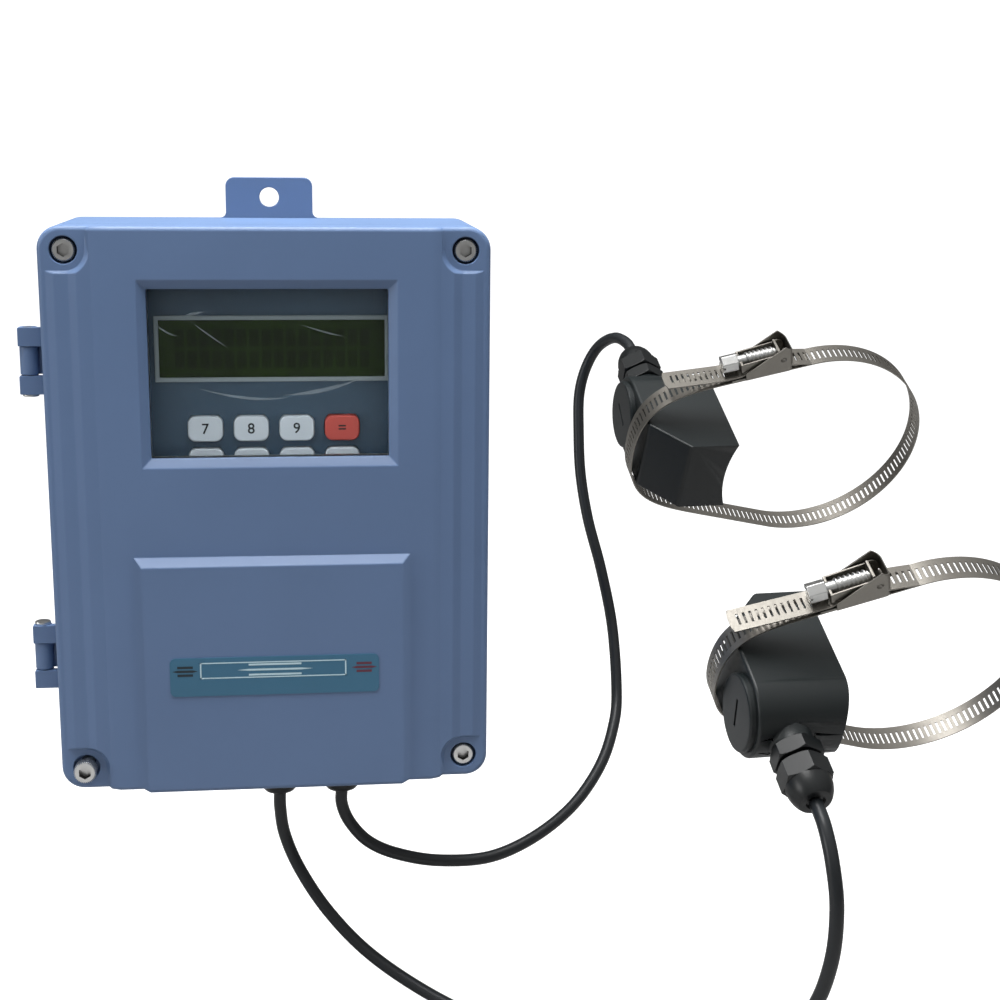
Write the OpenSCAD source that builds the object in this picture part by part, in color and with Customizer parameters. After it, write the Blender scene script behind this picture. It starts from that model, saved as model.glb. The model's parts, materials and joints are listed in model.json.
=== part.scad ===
// Clamp-on ultrasonic flow meter: wall-mounted meter case with a hinged lid and keypad,
// and two transducers strapped to a pipe by quick-release worm clamps.
// The origin is the centre of the top hanging hole on the wall plane.
// X is right, Y is into the wall and Z is up.

/* [Case] */
// Width of the case
case_w = 192; // [120:1:300]
// Height of the case without its tabs
case_h = 251; // [150:1:400]
// Depth of the rear half, from the wall to the parting plane
base_d = 59.8; // [40:0.1:120]
// Gap between the two halves, filled by the gasket
part_gap = 0.4; // [0.1:0.1:1]
// Side wall of both halves
wall = 3.5; // [2:0.1:6]
// Back wall of the rear half
back_wall = 4; // [2:0.1:8]
// Radius of the upright corners
corner_r = 10; // [4:0.5:20]
// Depth of the lid from the parting plane to its corner lands
lid_rise = 14.8; // [13:0.1:60]
// Height of the ribbed front above the corner lands
panel_rise = 4.5; // [2:0.1:8]
// Height of the lower raised panel above the ribbed front
raised_rise = 4.5; // [2:0.1:8]

/* [Hanging tabs] */
// Width of a hanging tab
tab_w = 40; // [25:1:80]
// How far a tab stands out of the case
tab_rise = 18.5; // [15:0.5:30]
// Thickness of a tab
tab_t = 4; // [2:0.5:8]
// Corner radius of a tab
tab_r = 4; // [1:0.5:8]
// Radius of a hanging hole
hang_r = 4.5; // [2.5:0.1:6]
// Distance of a hanging hole from the case
hang_out = 9.5; // [7:0.5:15]

/* [Lid front] */
// Distance of the innermost side step from the case's side
flute_in = 24; // [20:0.5:30]
// Distance from one side step to the next
flute_pitch = 9.5; // [6:0.5:10]
// Width of one side step
flute_w = 3.6; // [1:0.1:5]
// Number of side steps
flute_n = 3; // [3:1:3]
// Width of a corner land
land_w = 20; // [18:0.5:24]
// Height of a corner land
land_h = 19; // [18:0.5:24]
// Inner corner radius of a corner land
land_r = 8.75; // [5:0.25:9]
// Width of the slope round a corner land
land_slope = 2.5; // [0.5:0.1:4]
// Distance of the raised panel's foot from the case's side
raised_in = 34.5; // [33:0.5:41]
// Distance of the raised panel's upper edge below the case's top
raised_low = 142; // [136:1:190]
// Width of the raised panel's slope
raised_slope = 4.6; // [1:0.1:6]

/* [Window] */
// Distance of the window opening from the case's side
win_side = 44.7; // [44:0.1:48]
// Distance of the window opening from the case's top
win_end = 26.5; // [24:0.5:29]
// Height of the window opening
win_h = 73; // [60:0.5:74]
// Width of the window's bevel
win_bevel = 4; // [1:0.5:5]
// Depth of the window's bevel
win_bevel_d = 3; // [1:0.1:3.4]
// Front wall behind the ribbed front
front_wall = 4; // [3.5:0.1:4.4]
// Thickness of the window pane
pane_t = 2.5; // [1.5:0.1:4]
// Overlap of the pane on its seat, on each side
pane_lap = 3; // [2:0.1:3.5]
// Thickness of the pane's seal and of the frame behind it
pane_seal_t = 1; // [0.5:0.1:2]
// Thickness of the frame that holds the pane
retainer_t = 1.5; // [1:0.1:3]

/* [Lid screws] */
// Distance of the lid screws from the case's side
screw_side = 11; // [10:0.1:12]
// Distance of the lid screws from the case's top and bottom
screw_end = 10.2; // [9.5:0.1:11]
// Radius of a lid screw's head
head_r = 5; // [4:0.1:5.2]
// Height of a lid screw's head
head_h = 6; // [4:0.1:6.4]
// Width across flats of the head's socket
socket_af = 5; // [3:0.5:6]
// Depth of the head's socket
socket_d = 3.2; // [1:0.1:4]
// Radius of the counterbore over a lid screw
cbore_r = 5.85; // [5.5:0.05:6.5]
// Depth of the counterbore below the corner land
cbore_d = 6.5; // [6.2:0.1:8]
// Radius of a lid screw at its thread's root
shank_r = 2.45; // [1.5:0.05:2.5]
// Length of a lid screw below its head
shank_l = 14; // [12:0.5:14]
// Radius of the clearance hole in the lid
clear_r = 3.3; // [3:0.1:4]
// Radius of the tapped hole in the rear half
tap_r = 3; // [2.9:0.05:3.5]
// Travel of the screw that is backed out
loose_travel = 7.5; // [0:0.1:8]

/* [Lid hinges] */
// Distance of the hinges from the case's top and bottom
hinge_end = 58.7; // [35:0.5:85]
// Distance of the hinge line from the case's side
hinge_out = 7.5; // [6:0.1:10]
// Distance of the hinge line behind the parting plane
hinge_in = 1.2; // [0.8:0.05:2]
// Radius of a hinge barrel
barrel_r = 4; // [3.5:0.1:4.5]
// Radius of a hinge pin
pin_r = 2; // [1:0.1:2.5]
// Running clearance between pin and knuckle
pin_fit = 0.05; // [0.01:0.01:0.1]
// Length of the knuckle on the rear half
knuckle_l = 12.4; // [8:0.1:20]
// Length of each ear on the lid
ear_l = 8; // [5:0.1:15]
// End gap between a knuckle and an ear
ear_gap = 0.3; // [0.1:0.05:1]
// Radius of a hinge pin's head
pin_head_r = 3.5; // [3:0.1:3.9]
// Height of a hinge pin's head
pin_head_h = 1.3; // [1:0.1:4]

/* [Keypad and display] */
// Distance of the inner panel's front face behind the parting plane
panel_in = 2.8; // [1.8:0.1:9.8]
// Thickness of the inner panel
panel_t = 1.5; // [1:0.1:3]
// Distance of the inner panel from the case's side
panel_side = 8; // [7:0.5:18]
// Distance of the inner panel from the case's top and bottom
panel_end = 22.5; // [21.5:0.5:35]
// Width of a key
key_w = 15.3; // [10:0.1:18]
// Height of a key
key_h = 11.2; // [8:0.1:13]
// Distance of the keys across
key_pitch_x = 20.1; // [19:0.1:24]
// Distance of the keys downward
key_pitch_z = 14.5; // [14:0.1:20]
// How far a key stands out of the inner panel
key_proud = 3.5; // [2:0.1:3.6]
// Travel of a key
key_travel = 1.2; // [0.3:0.1:1.4]
// Clearance round a key
key_gap = 0.3; // [0.2:0.05:0.6]
// Sideways place of the display and the keypad
pad_x = 1.2; // [0:0.1:3]
// Distance of the keypad's middle below the window's middle
pad_down = 48.45; // [46:0.05:50]
// Distance of the display glass inside the window opening
lcd_side = 1.85; // [1:0.05:8]
// Height of the display glass
lcd_h = 25.3; // [15:0.1:26]
// Height of the display's middle above the window's middle
lcd_up = 8.7; // [8:0.1:11]
// Width of the frame round the display
lcd_rim = 2; // [1:0.1:3]

/* [Electronics] */
// Distance of the main board from the case's side
board_side = 21; // [20:0.5:36]
// Distance of the main board from the case's top
board_over = 43; // [40:0.5:55]
// Distance of the main board from the case's bottom
board_under = 58; // [55:0.5:70]
// Thickness of the circuit boards
board_t = 1.6; // [1:0.1:2.4]
// Height of the bosses under the main board
board_boss = 10; // [5:0.5:14]
// Radius of the small screws
m3_r = 1.5; // [1:0.1:2]
// Radius of the small screws' heads
m3_head_r = 2.75; // [2:0.05:3.2]
// Height of the small screws' heads
m3_head_h = 2; // [1:0.1:3]

/* [Cable entries] */
// Number of cable entries
entry_n = 5; // [3:2:5]
// Distance of the cable entries
entry_pitch = 30; // [26:1:34]
// Depth of the cable entries from the wall
entry_d = 28; // [24:0.5:34]
// Radius of the gland thread
thread_r = 7.95; // [6:0.05:8]
// Width across flats of a gland
gland_af = 20; // [18:0.5:22]
// Length of the collar of a case gland
case_collar_l = 5; // [3:0.5:7]
// Length of the hexagon of a case gland's nut
case_hex_l = 8; // [5:0.5:12]
// Length of the dome of a case gland's nut
case_dome_l = 8; // [4:0.5:12]
// Radius of a transducer cable
lead_r = 3; // [2:0.1:4]

/* [Pipe and transducers] */
// Radius of the pipe that the meter is clamped to
pipe_r = 55; // [50:0.5:65]
// Dip of the pipe's near end below the level
pipe_dip = 28.9; // [0:0.1:60]
// Swing of the pipe's near end to the right
pipe_swing = 5.73; // [-30:0.01:30]
// Distance of the two clamps along the pipe
clamp_span = 154.1; // [130:0.1:260]
// Width of a transducer
probe_w = 39; // [30:0.5:44]
// Height of a transducer's top above the pipe
probe_h = 38; // [30:0.5:50]
// Length of a transducer's block in front of its clamp
probe_l = 26; // [20:0.5:40]
// Height of a transducer's upright end face
probe_nose = 21.5; // [10:0.5:30]
// Length of the flat top in front of the clamp
probe_flat = 8; // [7:0.5:14]
// Distance of the transducer's round end behind the clamp
probe_back = 25; // [20:0.5:35]
// Radius of a transducer's cap
cap_r = 17; // [14:0.5:18.5]
// Height of a transducer's cap
cap_t = 3; // [1:0.5:5]
// Radius of the cavity in a transducer
cavity_r = 14; // [10:0.5:15]
// Height of the cavity's floor above the pipe
cavity_floor = 6; // [2:0.5:10]
// Height of the gland above the pipe
probe_gland_h = 22; // [14:0.5:26]
// Length of the neck between a transducer and its gland
neck_l = 2.5; // [1:0.5:6]
// Length of the collar of a transducer gland
collar_l = 7.5; // [3:0.5:10]
// Length of the hexagon of a transducer gland's nut
hex_l = 9.8; // [5:0.1:14]
// Length of the dome of a transducer gland's nut
dome_l = 9.2; // [4:0.1:14]

/* [Clamps] */
// Width of a clamp band
band_w = 12.7; // [8:0.1:13]
// Thickness of a clamp band
band_t = 0.6; // [0.4:0.1:1]
// Length of a band slot
slot_l = 6.3; // [4:0.1:7]
// Width of a band slot
slot_w = 1.1; // [0.6:0.1:1.4]
// Distance of the band slots
slot_pitch = 2.8; // [2.2:0.1:4]
// Angle from the upper transducer to where its band leaves the pipe
upper_lean = 75; // [70:0.5:78]
// Angle from the lower transducer to where its band leaves the pipe
lower_lean = 71; // [70:0.5:78]
// Place of the upper saddle along its band
upper_slip = 7.5; // [4:0.1:12]
// Place of the lower saddle along its band
lower_slip = 11; // [4:0.1:12]
// Standing height of the upper band over its transducer
upper_bow = 4.2; // [4:0.1:8]
// Standing height of the lower band over its transducer
lower_bow = 5.4; // [5.2:0.1:8]
// Radius of a clamp's worm
worm_r = 3.5; // [2.5:0.1:3.6]
// Length of a clamp's worm
worm_l = 16.5; // [12:0.5:18]
// Width across flats of a worm's head
worm_af = 8; // [6:0.5:8.5]
// Length of a worm's head
worm_head_l = 8; // [5:0.5:10]

/* [Hidden] */
$fn = 64;
cut = 1;
hang_z = case_h / 2 + hang_out;
lid_d = base_d + part_gap;
land_d = lid_d + lid_rise;
hinge_d = base_d - hinge_in;
panel_face_d = base_d - panel_in;
panel_d = land_d + panel_rise;
raised_d = panel_d + raised_rise;
seat_d = land_d - cbore_d;
screw_x = case_w / 2 - screw_side;
screw_z = case_h / 2 - screw_end;
hinge_z = case_h / 2 - hinge_end;
flute_x = case_w / 2 - flute_in;
raised_w = case_w - 2 * raised_in;
raised_h = case_h - raised_low;
win_w = case_w - 2 * win_side;
win_z = case_h / 2 - win_end - win_h / 2;
panel_w = case_w - 2 * panel_side;
panel_h = case_h - 2 * panel_end;
pad_z = win_z - pad_down;
lcd_w = win_w - 2 * lcd_side;
lcd_z = win_z + lcd_up;
board_w = case_w - 2 * board_side;
board_h = case_h - board_over - board_under;
board_z = (board_under - board_over) / 2;
boss_wall = 2.4;
boss_r = cbore_r + boss_wall;
case_blue = [0.48, 0.56, 0.71];
steel = [0.72, 0.72, 0.73];
black = [0.09, 0.09, 0.1];
lead_black = [0.07, 0.07, 0.08];
panel_blue = [0.5, 0.6, 0.75];
brass = [0.78, 0.62, 0.32];
green = [0.12, 0.36, 0.24];

// Evenly spaced places about zero
function span(n, pitch) = [for (i = [0:n - 1]) (i - (n - 1) / 2) * pitch];

// Moves from the case's middle to the part's own frame
module at_case() { translate([0, 0, -hang_z]) children(); }

// Extrudes an outline of X and Z away from the wall, from a given depth
module slab(from, thick) {
  translate([0, -from, 0]) rotate([90, 0, 0]) linear_extrude(thick) children();
}

// A round bar or hole square to the wall
module peg(x, z, from, length, r) {
  translate([x, -from, z]) rotate([90, 0, 0]) cylinder(r = r, h = length);
}

module round_rect(w, h, r) {
  square([w - 2 * r, h], center = true);
  square([w, h - 2 * r], center = true);
  for (x = [-1, 1], z = [-1, 1]) translate([x * (w / 2 - r), z * (h / 2 - r)]) circle(r = r);
}

// The case's outline, drawn in by an inset
module case_outline(inset) {
  round_rect(case_w - 2 * inset, case_h - 2 * inset, corner_r - inset);
}

module hex_bar(af, length) { cylinder(r = af / 2 / cos(30), h = length, $fn = 6); }

// A square opening that narrows with depth, or a pad that narrows with height
module taper(x0, x1, z0, z1, from, thick, slope_x, slope_z0, slope_z1) {
  intersection() {
    translate([0, 0, z0]) linear_extrude(z1 - z0) polygon([
      [x0, -from], [x1, -from], [x1 - slope_x, -from - thick], [x0 + slope_x, -from - thick]]);
    rotate([90, 0, 90]) translate([0, 0, x0]) linear_extrude(x1 - x0) polygon([
      [-from, z0], [-from, z1], [-from - thick, z1 - slope_z1], [-from - thick, z0 + slope_z0]]);
  }
}

// Rear half of the case
screw_xz = [for (x = [-1, 1], z = [-1, 1]) [x * screw_x, z * screw_z]];
loose_xz = [-screw_x, -screw_z];
entry_xs = span(entry_n, entry_pitch);
mid_entry = (entry_n - 1) / 2;
lead_xs = [entry_xs[mid_entry], entry_xs[mid_entry + 1]];
plug_xs = [for (i = [0:entry_n - 1]) if (i < mid_entry || i > mid_entry + 1) entry_xs[i]];
entry_r = thread_r + pin_fit;
tip_room = 2.5;
tap_l = base_d - (seat_d - shank_l) + tip_room;
post_r = 2 * m3_r;
board_xz = [for (x = [-1, 1], z = [-1, 1])
  [x * (board_w / 2 - 2 * post_r), board_z + z * (board_h / 2 - 2 * post_r)]];
board_d = back_wall + board_boss;
panel_back_d = panel_face_d - panel_t;
post_xz = [for (x = [-1, 1], z = [-1, 1])
  [x * (panel_w / 2 - 2 * post_r), z * (panel_h / 2 - 2 * post_r)]];
hinge_x = -case_w / 2 - hinge_out;
arm_near = barrel_r / 4;
arm_far = 2 * barrel_r;

module tab_outline() {
  difference() {
    union() {
      translate([-tab_w / 2, case_h / 2 - wall]) square([tab_w, tab_rise + wall - tab_r]);
      translate([tab_r - tab_w / 2, case_h / 2 - wall])
        square([tab_w - 2 * tab_r, tab_rise + wall]);
      for (x = [-1, 1]) translate([x * (tab_w / 2 - tab_r), case_h / 2 + tab_rise - tab_r])
        circle(r = tab_r);
      // Concave fillets at the tab's root
      for (x = [0, 1]) mirror([x, 0]) translate([tab_w / 2, case_h / 2]) difference() {
        translate([-wall, -wall]) square(wall + tab_fillet);
        translate([tab_fillet, tab_fillet]) circle(r = tab_fillet);
      }
    }
    translate([0, hang_z]) circle(r = hang_r);
  }
}
tab_fillet = 2.75;

module knuckle() {
  difference() {
    union() {
      cylinder(r = barrel_r, h = knuckle_l, center = true);
      translate([0, arm_near, -knuckle_l / 2])
        cube([hinge_out + wall / 2, arm_far - arm_near, knuckle_l]);
    }
    cylinder(r = pin_r + pin_fit, h = knuckle_l + cut, center = true);
  }
}

module base() {
  color(case_blue) at_case() difference() {
    union() {
      difference() {
        slab(0, base_d) case_outline(0);
        slab(back_wall, base_d) case_outline(wall);
      }
      for (s = [0, 1]) mirror([0, 0, s]) slab(0, tab_t) tab_outline();
      intersection() {
        for (p = screw_xz) peg(p[0], p[1], 0, base_d, boss_r);
        slab(0, base_d) case_outline(0);
      }
      for (p = board_xz) peg(p[0], p[1], 0, board_d, post_r);
      for (z = [-1, 1]) translate([hinge_x, -hinge_d, z * hinge_z]) knuckle();
    }
    for (p = screw_xz) peg(p[0], p[1], base_d - tap_l, tap_l + cut, tap_r);
    for (p = board_xz) peg(p[0], p[1], back_wall, board_d, m3_r);
    for (p = post_xz) peg(p[0], p[1], back_wall / 2, back_wall, m3_r);
    for (x = entry_xs) translate([x, -entry_d, -case_h / 2 - cut])
      cylinder(r = entry_r, h = wall + 2 * groove_l + 2 * cut);
  }
}

// Front half of the case
win_x = win_w / 2;
win_top = win_z + win_h / 2;
win_low = win_z - win_h / 2;
skin_d = panel_d - front_wall;
raised_in_d = raised_d - front_wall;
pane_w = win_w + 2 * pane_lap;
pane_h = win_h + 2 * pane_lap;
pane_d = skin_d - pane_seal_t;
retainer_d = pane_d - pane_t;
clip_x = pane_w / 2 + post_r + part_gap;
clip_xz = [for (x = [-1, 1], z = [-1, 0, 1]) [x * clip_x, win_z + z * win_h / 2]];
flute_rise = panel_rise / flute_n;
cavity_x = flute_x - flute_w / 4;

// The front's plan: land level at the sides, then one slope up at each side step
function step_pts(i) = let (
  x = flute_x + (flute_n - 1 - i) * flute_pitch, y = land_d + i * flute_rise)
  [[x + flute_w / 2, y], [x - flute_w / 2, y + flute_rise]];
front_pts = [for (i = [0:flute_n - 1]) for (p = step_pts(i)) p];

module front_plan() {
  polygon(concat(
    [[-case_w / 2, -lid_d], [-case_w / 2, -land_d]],
    [for (p = front_pts) [-p[0], -p[1]]],
    [for (i = [len(front_pts) - 1:-1:0]) [front_pts[i][0], -front_pts[i][1]]],
    [[case_w / 2, -land_d], [case_w / 2, -lid_d]]));
}

// Cuts one corner down to its land, with a slope along both inner sides
module land_cut() {
  x = case_w / 2 - land_w;
  z = case_h / 2 - land_h;
  rise = panel_rise + cut;
  lean = land_slope / panel_rise * rise;
  translate([0, -land_d, 0]) rotate([90, 0, 0]) {
    linear_extrude(rise) {
      translate([x + land_r, z]) square(land_w);
      translate([x, z + land_r]) square(land_w);
      translate([x + land_r, z + land_r]) circle(r = land_r);
    }
    translate([x + land_r, z + land_r, 0]) cylinder(r1 = land_r, r2 = land_r + lean, h = rise);
    translate([x + land_r, z + land_r, 0]) rotate([90, 0, 90]) linear_extrude(land_w)
      polygon([[0, 0], [-land_r, 0], [-land_r - lean, rise], [0, rise]]);
    translate([x + land_r, z + land_r, 0]) rotate([90, 0, 180]) linear_extrude(land_h + cut)
      polygon([[0, 0], [land_r, 0], [land_r + lean, rise], [0, rise]]);
  }
}

module ear() {
  difference() {
    union() {
      cylinder(r = barrel_r, h = ear_l);
      translate([-barrel_r, -ear_front, 0]) cube([ear_web, ear_front, ear_l]);
      translate([0, -ear_front, 0]) cube([hinge_out + wall / 2, ear_front - ear_root, ear_l]);
    }
    translate([0, 0, -cut]) cylinder(r = pin_r, h = ear_l + 2 * cut);
  }
}
ear_front = barrel_r + 0.5;
ear_root = lid_d - hinge_d;
ear_web = barrel_r + hinge_out - 2 * part_gap;

module lid() {
  color(case_blue) at_case() difference() {
    union() {
      difference() {
        intersection() {
          union() {
            translate([0, 0, -case_h / 2]) linear_extrude(case_h) front_plan();
            taper(-raised_w / 2, raised_w / 2, -case_h / 2, raised_h - case_h / 2,
              panel_d - flute_rise, raised_rise + flute_rise, raised_slope, 0, raised_slope);
          }
          slab(lid_d, raised_d) case_outline(0);
        }
        for (x = [0, 1], z = [0, 1]) mirror([x, 0, 0]) mirror([0, 0, z]) land_cut();
        slab(lid_d - cut, land_d - wall - lid_d + cut) case_outline(wall);
        translate([-cavity_x, -skin_d, wall - case_h / 2])
          cube([2 * cavity_x, skin_d - lid_d, case_h - 2 * wall]);
        translate([raised_slope - raised_w / 2 + wall, -raised_in_d, wall - case_h / 2])
          cube([raised_w - 2 * raised_slope - 2 * wall, raised_in_d - lid_d,
            raised_h - raised_slope - 2 * wall]);
      }
      intersection() {
        for (p = screw_xz) peg(p[0], p[1], lid_d, land_d - lid_d, boss_r);
        slab(lid_d, land_d - lid_d) case_outline(0);
      }
      for (p = clip_xz) peg(p[0], p[1], retainer_d, skin_d - retainer_d + cut, post_r);
      for (s = [-1, 1], e = [0, 1]) translate([hinge_x, -hinge_d, s * hinge_z])
        mirror([0, 0, e]) translate([0, 0, knuckle_l / 2 + ear_gap]) ear();
    }
    taper(-win_x - win_bevel, win_x + win_bevel, win_low - win_bevel, win_top + win_bevel,
      panel_d, -win_bevel_d, win_bevel, win_bevel, win_bevel);
    translate([-win_x, -panel_d - cut, win_low]) cube([win_w, panel_d, win_h]);
    for (p = screw_xz) {
      peg(p[0], p[1], seat_d, land_d, cbore_r);
      peg(p[0], p[1], lid_d - cut, land_d, clear_r);
    }
    for (p = clip_xz) peg(p[0], p[1], retainer_d - cut, clip_bite + cut, m3_r);
    slab(lid_d - cut, gasket_d + cut) difference() {
      case_outline(gasket_in);
      case_outline(gasket_in + gasket_w);
    }
  }
}
clip_bite = skin_d - retainer_d + front_wall / 4;
gasket_in = wall / 4;
gasket_w = wall / 2;
gasket_d = 1;

module lid_gasket() {
  color(black) at_case() slab(base_d, part_gap + gasket_d) difference() {
    case_outline(gasket_in);
    case_outline(gasket_in + gasket_w);
  }
}

// Both pins are alike: the lower one is put in from above and the upper one from below
module hinge_pins() {
  pin_l = knuckle_l + 2 * ear_gap + 2 * ear_l;
  color(steel) at_case() for (s = [0, 1]) mirror([0, 0, s])
    translate([hinge_x, -hinge_d, -hinge_z - pin_l / 2]) {
      cylinder(r = pin_r, h = pin_l);
      translate([0, 0, pin_l]) cylinder(r = pin_head_r, h = pin_head_h);
    }
}

module socket_screw() {
  difference() {
    union() {
      cylinder(r = shank_r, h = shank_l + head_h);
      translate([0, 0, shank_l]) cylinder(r = head_r, h = head_h);
    }
    translate([0, 0, shank_l + head_h - socket_d]) hex_bar(socket_af, socket_d + cut);
  }
}

module lid_screw_at(p, out) {
  at_case() translate([p[0], shank_l - seat_d - out, p[1]]) rotate([90, 0, 0]) socket_screw();
}

module lid_screws() { color(steel) for (p = screw_xz) if (p != loose_xz) lid_screw_at(p, 0); }

module loose_lid_screw() { color(steel) lid_screw_at(loose_xz, loose_travel); }

module pane_outline(w, h) { translate([0, win_z]) round_rect(w, h, pane_lap); }

module window_pane() {
  color([0.85, 0.9, 0.92, 0.35]) at_case() slab(retainer_d, pane_t) pane_outline(pane_w, pane_h);
}

module window_seal() {
  color(black) at_case() slab(pane_d, pane_seal_t) difference() {
    pane_outline(pane_w, pane_h);
    pane_outline(win_w + pane_lap, win_h + pane_lap);
  }
}

module window_retainer() {
  color(steel) at_case() slab(retainer_d - retainer_t, retainer_t) difference() {
    union() {
      pane_outline(pane_w, pane_h);
      for (p = clip_xz) translate(p) circle(r = post_r);
      for (z = [-1, 0, 1]) translate([0, win_z + z * win_h / 2])
        square([2 * clip_x, 2 * post_r], center = true);
    }
    translate([0, win_z]) square([win_w, win_h], center = true);
    for (p = clip_xz) translate(p) circle(r = m3_r + pin_fit);
  }
}

// Pan-head screw, its tip at zero
module pan_screw(length) {
  difference() {
    union() {
      cylinder(r = m3_r, h = length);
      translate([0, 0, length]) cylinder(r = m3_head_r, h = m3_head_h);
    }
    for (a = [0, 90]) rotate(a) translate([0, 0, length + m3_head_h])
      cube([m3_head_r, m3_r / 2, m3_head_h], center = true);
  }
}

// The window frame's screws point away from the wall
module window_screws() {
  clip_l = clip_bite - front_wall / 8 + retainer_t;
  color(steel) at_case() for (p = clip_xz) translate([p[0], retainer_t - retainer_d - clip_l, p[1]])
    rotate([-90, 0, 0]) pan_screw(clip_l);
}

// Screws of the main board and the inner panel
module small_screws() {
  post_l = 3 * panel_t + post_r;
  color(steel) at_case() {
    for (p = board_xz) translate([p[0], -board_d - board_t + board_boss, p[1]])
      rotate([90, 0, 0]) pan_screw(board_boss);
    for (p = post_xz) translate([p[0], post_l - panel_face_d, p[1]])
      rotate([90, 0, 0]) pan_screw(post_l);
  }
}

// Inner panel with the display and the keys
cols = span(4, key_pitch_x);
rows = [for (z = span(4, -key_pitch_z)) pad_z + z];
lcd_x = pad_x;
key_flange = 0.8;
key_flange_t = 1;
stem_l = 3.9;
switch_h = 4.5;
stem_top_d = panel_back_d - key_gap - key_flange_t;
pad_board_d = stem_top_d - stem_l - (switch_h - key_travel);
module key_outline(grow) {
  intersection() {
    square([key_w + 2 * grow, key_h + 2 * grow], center = true);
    circle(r = norm([key_w, key_h]) / 2 - key_clip + grow);
  }
}
key_clip = 1.4;

module inner_panel() {
  color(panel_blue) at_case() slab(panel_back_d, panel_t) difference() {
    square([panel_w, panel_h], center = true);
    for (x = cols, z = rows) translate([x + pad_x, z]) key_outline(key_gap);
    translate([lcd_x, lcd_z]) square([lcd_w + 2 * key_gap, lcd_h + 2 * key_gap], center = true);
    for (p = post_xz) translate(p) circle(r = m3_r + pin_fit);
  }
}

module panel_posts() {
  color(brass) at_case() for (p = post_xz) translate([p[0], -back_wall, p[1]])
    rotate([90, 0, 0]) difference() {
      hex_bar(2 * post_r, panel_back_d - back_wall);
      translate([0, 0, panel_back_d - back_wall - 4 * post_r])
        cylinder(r = m3_r, h = 4 * post_r + cut);
    }
}

module lcd_frame() {
  color([0.75, 0.8, 0.82]) at_case() slab(panel_face_d, key_flange_t) translate([lcd_x, lcd_z])
    difference() {
      square([lcd_w + 2 * lcd_rim, lcd_h + 2 * lcd_rim], center = true);
      square([lcd_w, lcd_h], center = true);
    }
}

module lcd_module() {
  glass_d = panel_face_d + key_flange_t / 2;
  color([0.3, 0.32, 0.12]) at_case() translate([lcd_x, 0, lcd_z]) {
    slab(panel_back_d - 2 * panel_t, glass_d - panel_back_d + 2 * panel_t)
      square([lcd_w - key_gap, lcd_h - key_gap], center = true);
    slab(panel_back_d - 2 * panel_t - board_t, board_t)
      square([lcd_w + 4 * lcd_rim, lcd_h + 4 * lcd_rim], center = true);
  }
}

module key(col, row, tint) {
  color(tint) at_case() translate([pad_x + cols[col], 0, rows[row]]) {
    slab(stem_top_d + key_flange_t, panel_face_d + key_proud - stem_top_d - key_flange_t)
      key_outline(0);
    slab(stem_top_d, key_flange_t) key_outline(key_flange);
    slab(stem_top_d - stem_l, stem_l) circle(r = m3_r);
  }
}
key_grey = [0.78, 0.8, 0.82];
key_red = [0.72, 0.16, 0.14];

module keypad_board() {
  feet_x = cols[3] + pad_x + key_w;
  color(green) at_case() {
    slab(pad_board_d - board_t, board_t) translate([pad_x, pad_z])
      square([2 * feet_x, 4 * key_pitch_z], center = true);
    for (x = cols, z = rows) translate([pad_x + x, 0, z]) difference() {
      slab(pad_board_d, switch_h) square(2 * post_r, center = true);
      slab(pad_board_d + m3_r, switch_h) circle(r = m3_r + 4 * pin_fit);
    }
    for (x = [-1, 1], z = [rows[0], rows[3]])
      peg(pad_x + x * (feet_x - post_r), z, pad_board_d, panel_back_d - pad_board_d, post_r);
  }
}

// Electronics in the rear half
module chip(x, z, w, h, t) { slab(board_d + board_t, t) translate([x, z]) square([w, h], center = true); }

chip_t = 2.4;
battery_r = 11;
module main_board() {
  u = board_w / 15;
  v = board_h / 15;
  color(green) at_case() {
    slab(board_d, board_t) difference() {
      translate([0, board_z]) square([board_w, board_h], center = true);
      for (p = board_xz) translate(p) circle(r = m3_r + pin_fit);
    }
    chip(0, board_z, 2 * u, 2 * v, chip_t);
    chip(-3 * u, board_z - v, u, 2 * v, chip_t);
    chip(4.5 * u, board_z - 2 * v, 1.4 * u, 1.4 * v, chip_t);
    for (x = span(4, 1.4 * u)) chip(x, board_z - 4 * v, u, v, 4 * chip_t);
    peg(board_w / 2 - 2 * battery_r, board_z + board_h / 4, board_d + board_t, 2 * chip_t, battery_r);
  }
}

trans_w = 42;
trans_h = 36;
trans_t = pad_board_d - board_d - 2 * board_t - tip_room;
module transformer() {
  color([0.25, 0.26, 0.28]) at_case() slab(board_d + board_t, trans_t)
    translate([-board_w / 4, board_z + board_h / 4]) square([trans_w, trans_h], center = true);
}

block_w = 24;
block_h = 14;
block_t = 18;
block_z = board_z - board_h / 2 + block_h;
module terminal_blocks() {
  color([0.16, 0.45, 0.3]) at_case() for (x = concat(lead_xs[0] - entry_pitch, lead_xs)) difference() {
    slab(board_d + board_t, block_t) translate([x, block_z]) square([block_w, block_h], center = true);
    for (i = span(4, block_w / 4))
      peg(x + i, block_z, board_d + board_t + block_t - m3_r, block_t, m3_r);
  }
}

module ribbon_cable() {
  color([0.7, 0.7, 0.72]) at_case() slab(board_d + board_t, pad_board_d - board_d - 2 * board_t)
    translate([pad_x + cols[3], pad_z]) square([2 * post_r, key_pitch_z * 2], center = true);
}

// Cable glands: each unit gland points down from its seat
gland_wall = 1.2;
groove_l = 1.5;
seal_l = 6;
gland_in = lead_r + 2 * pin_fit;

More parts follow.
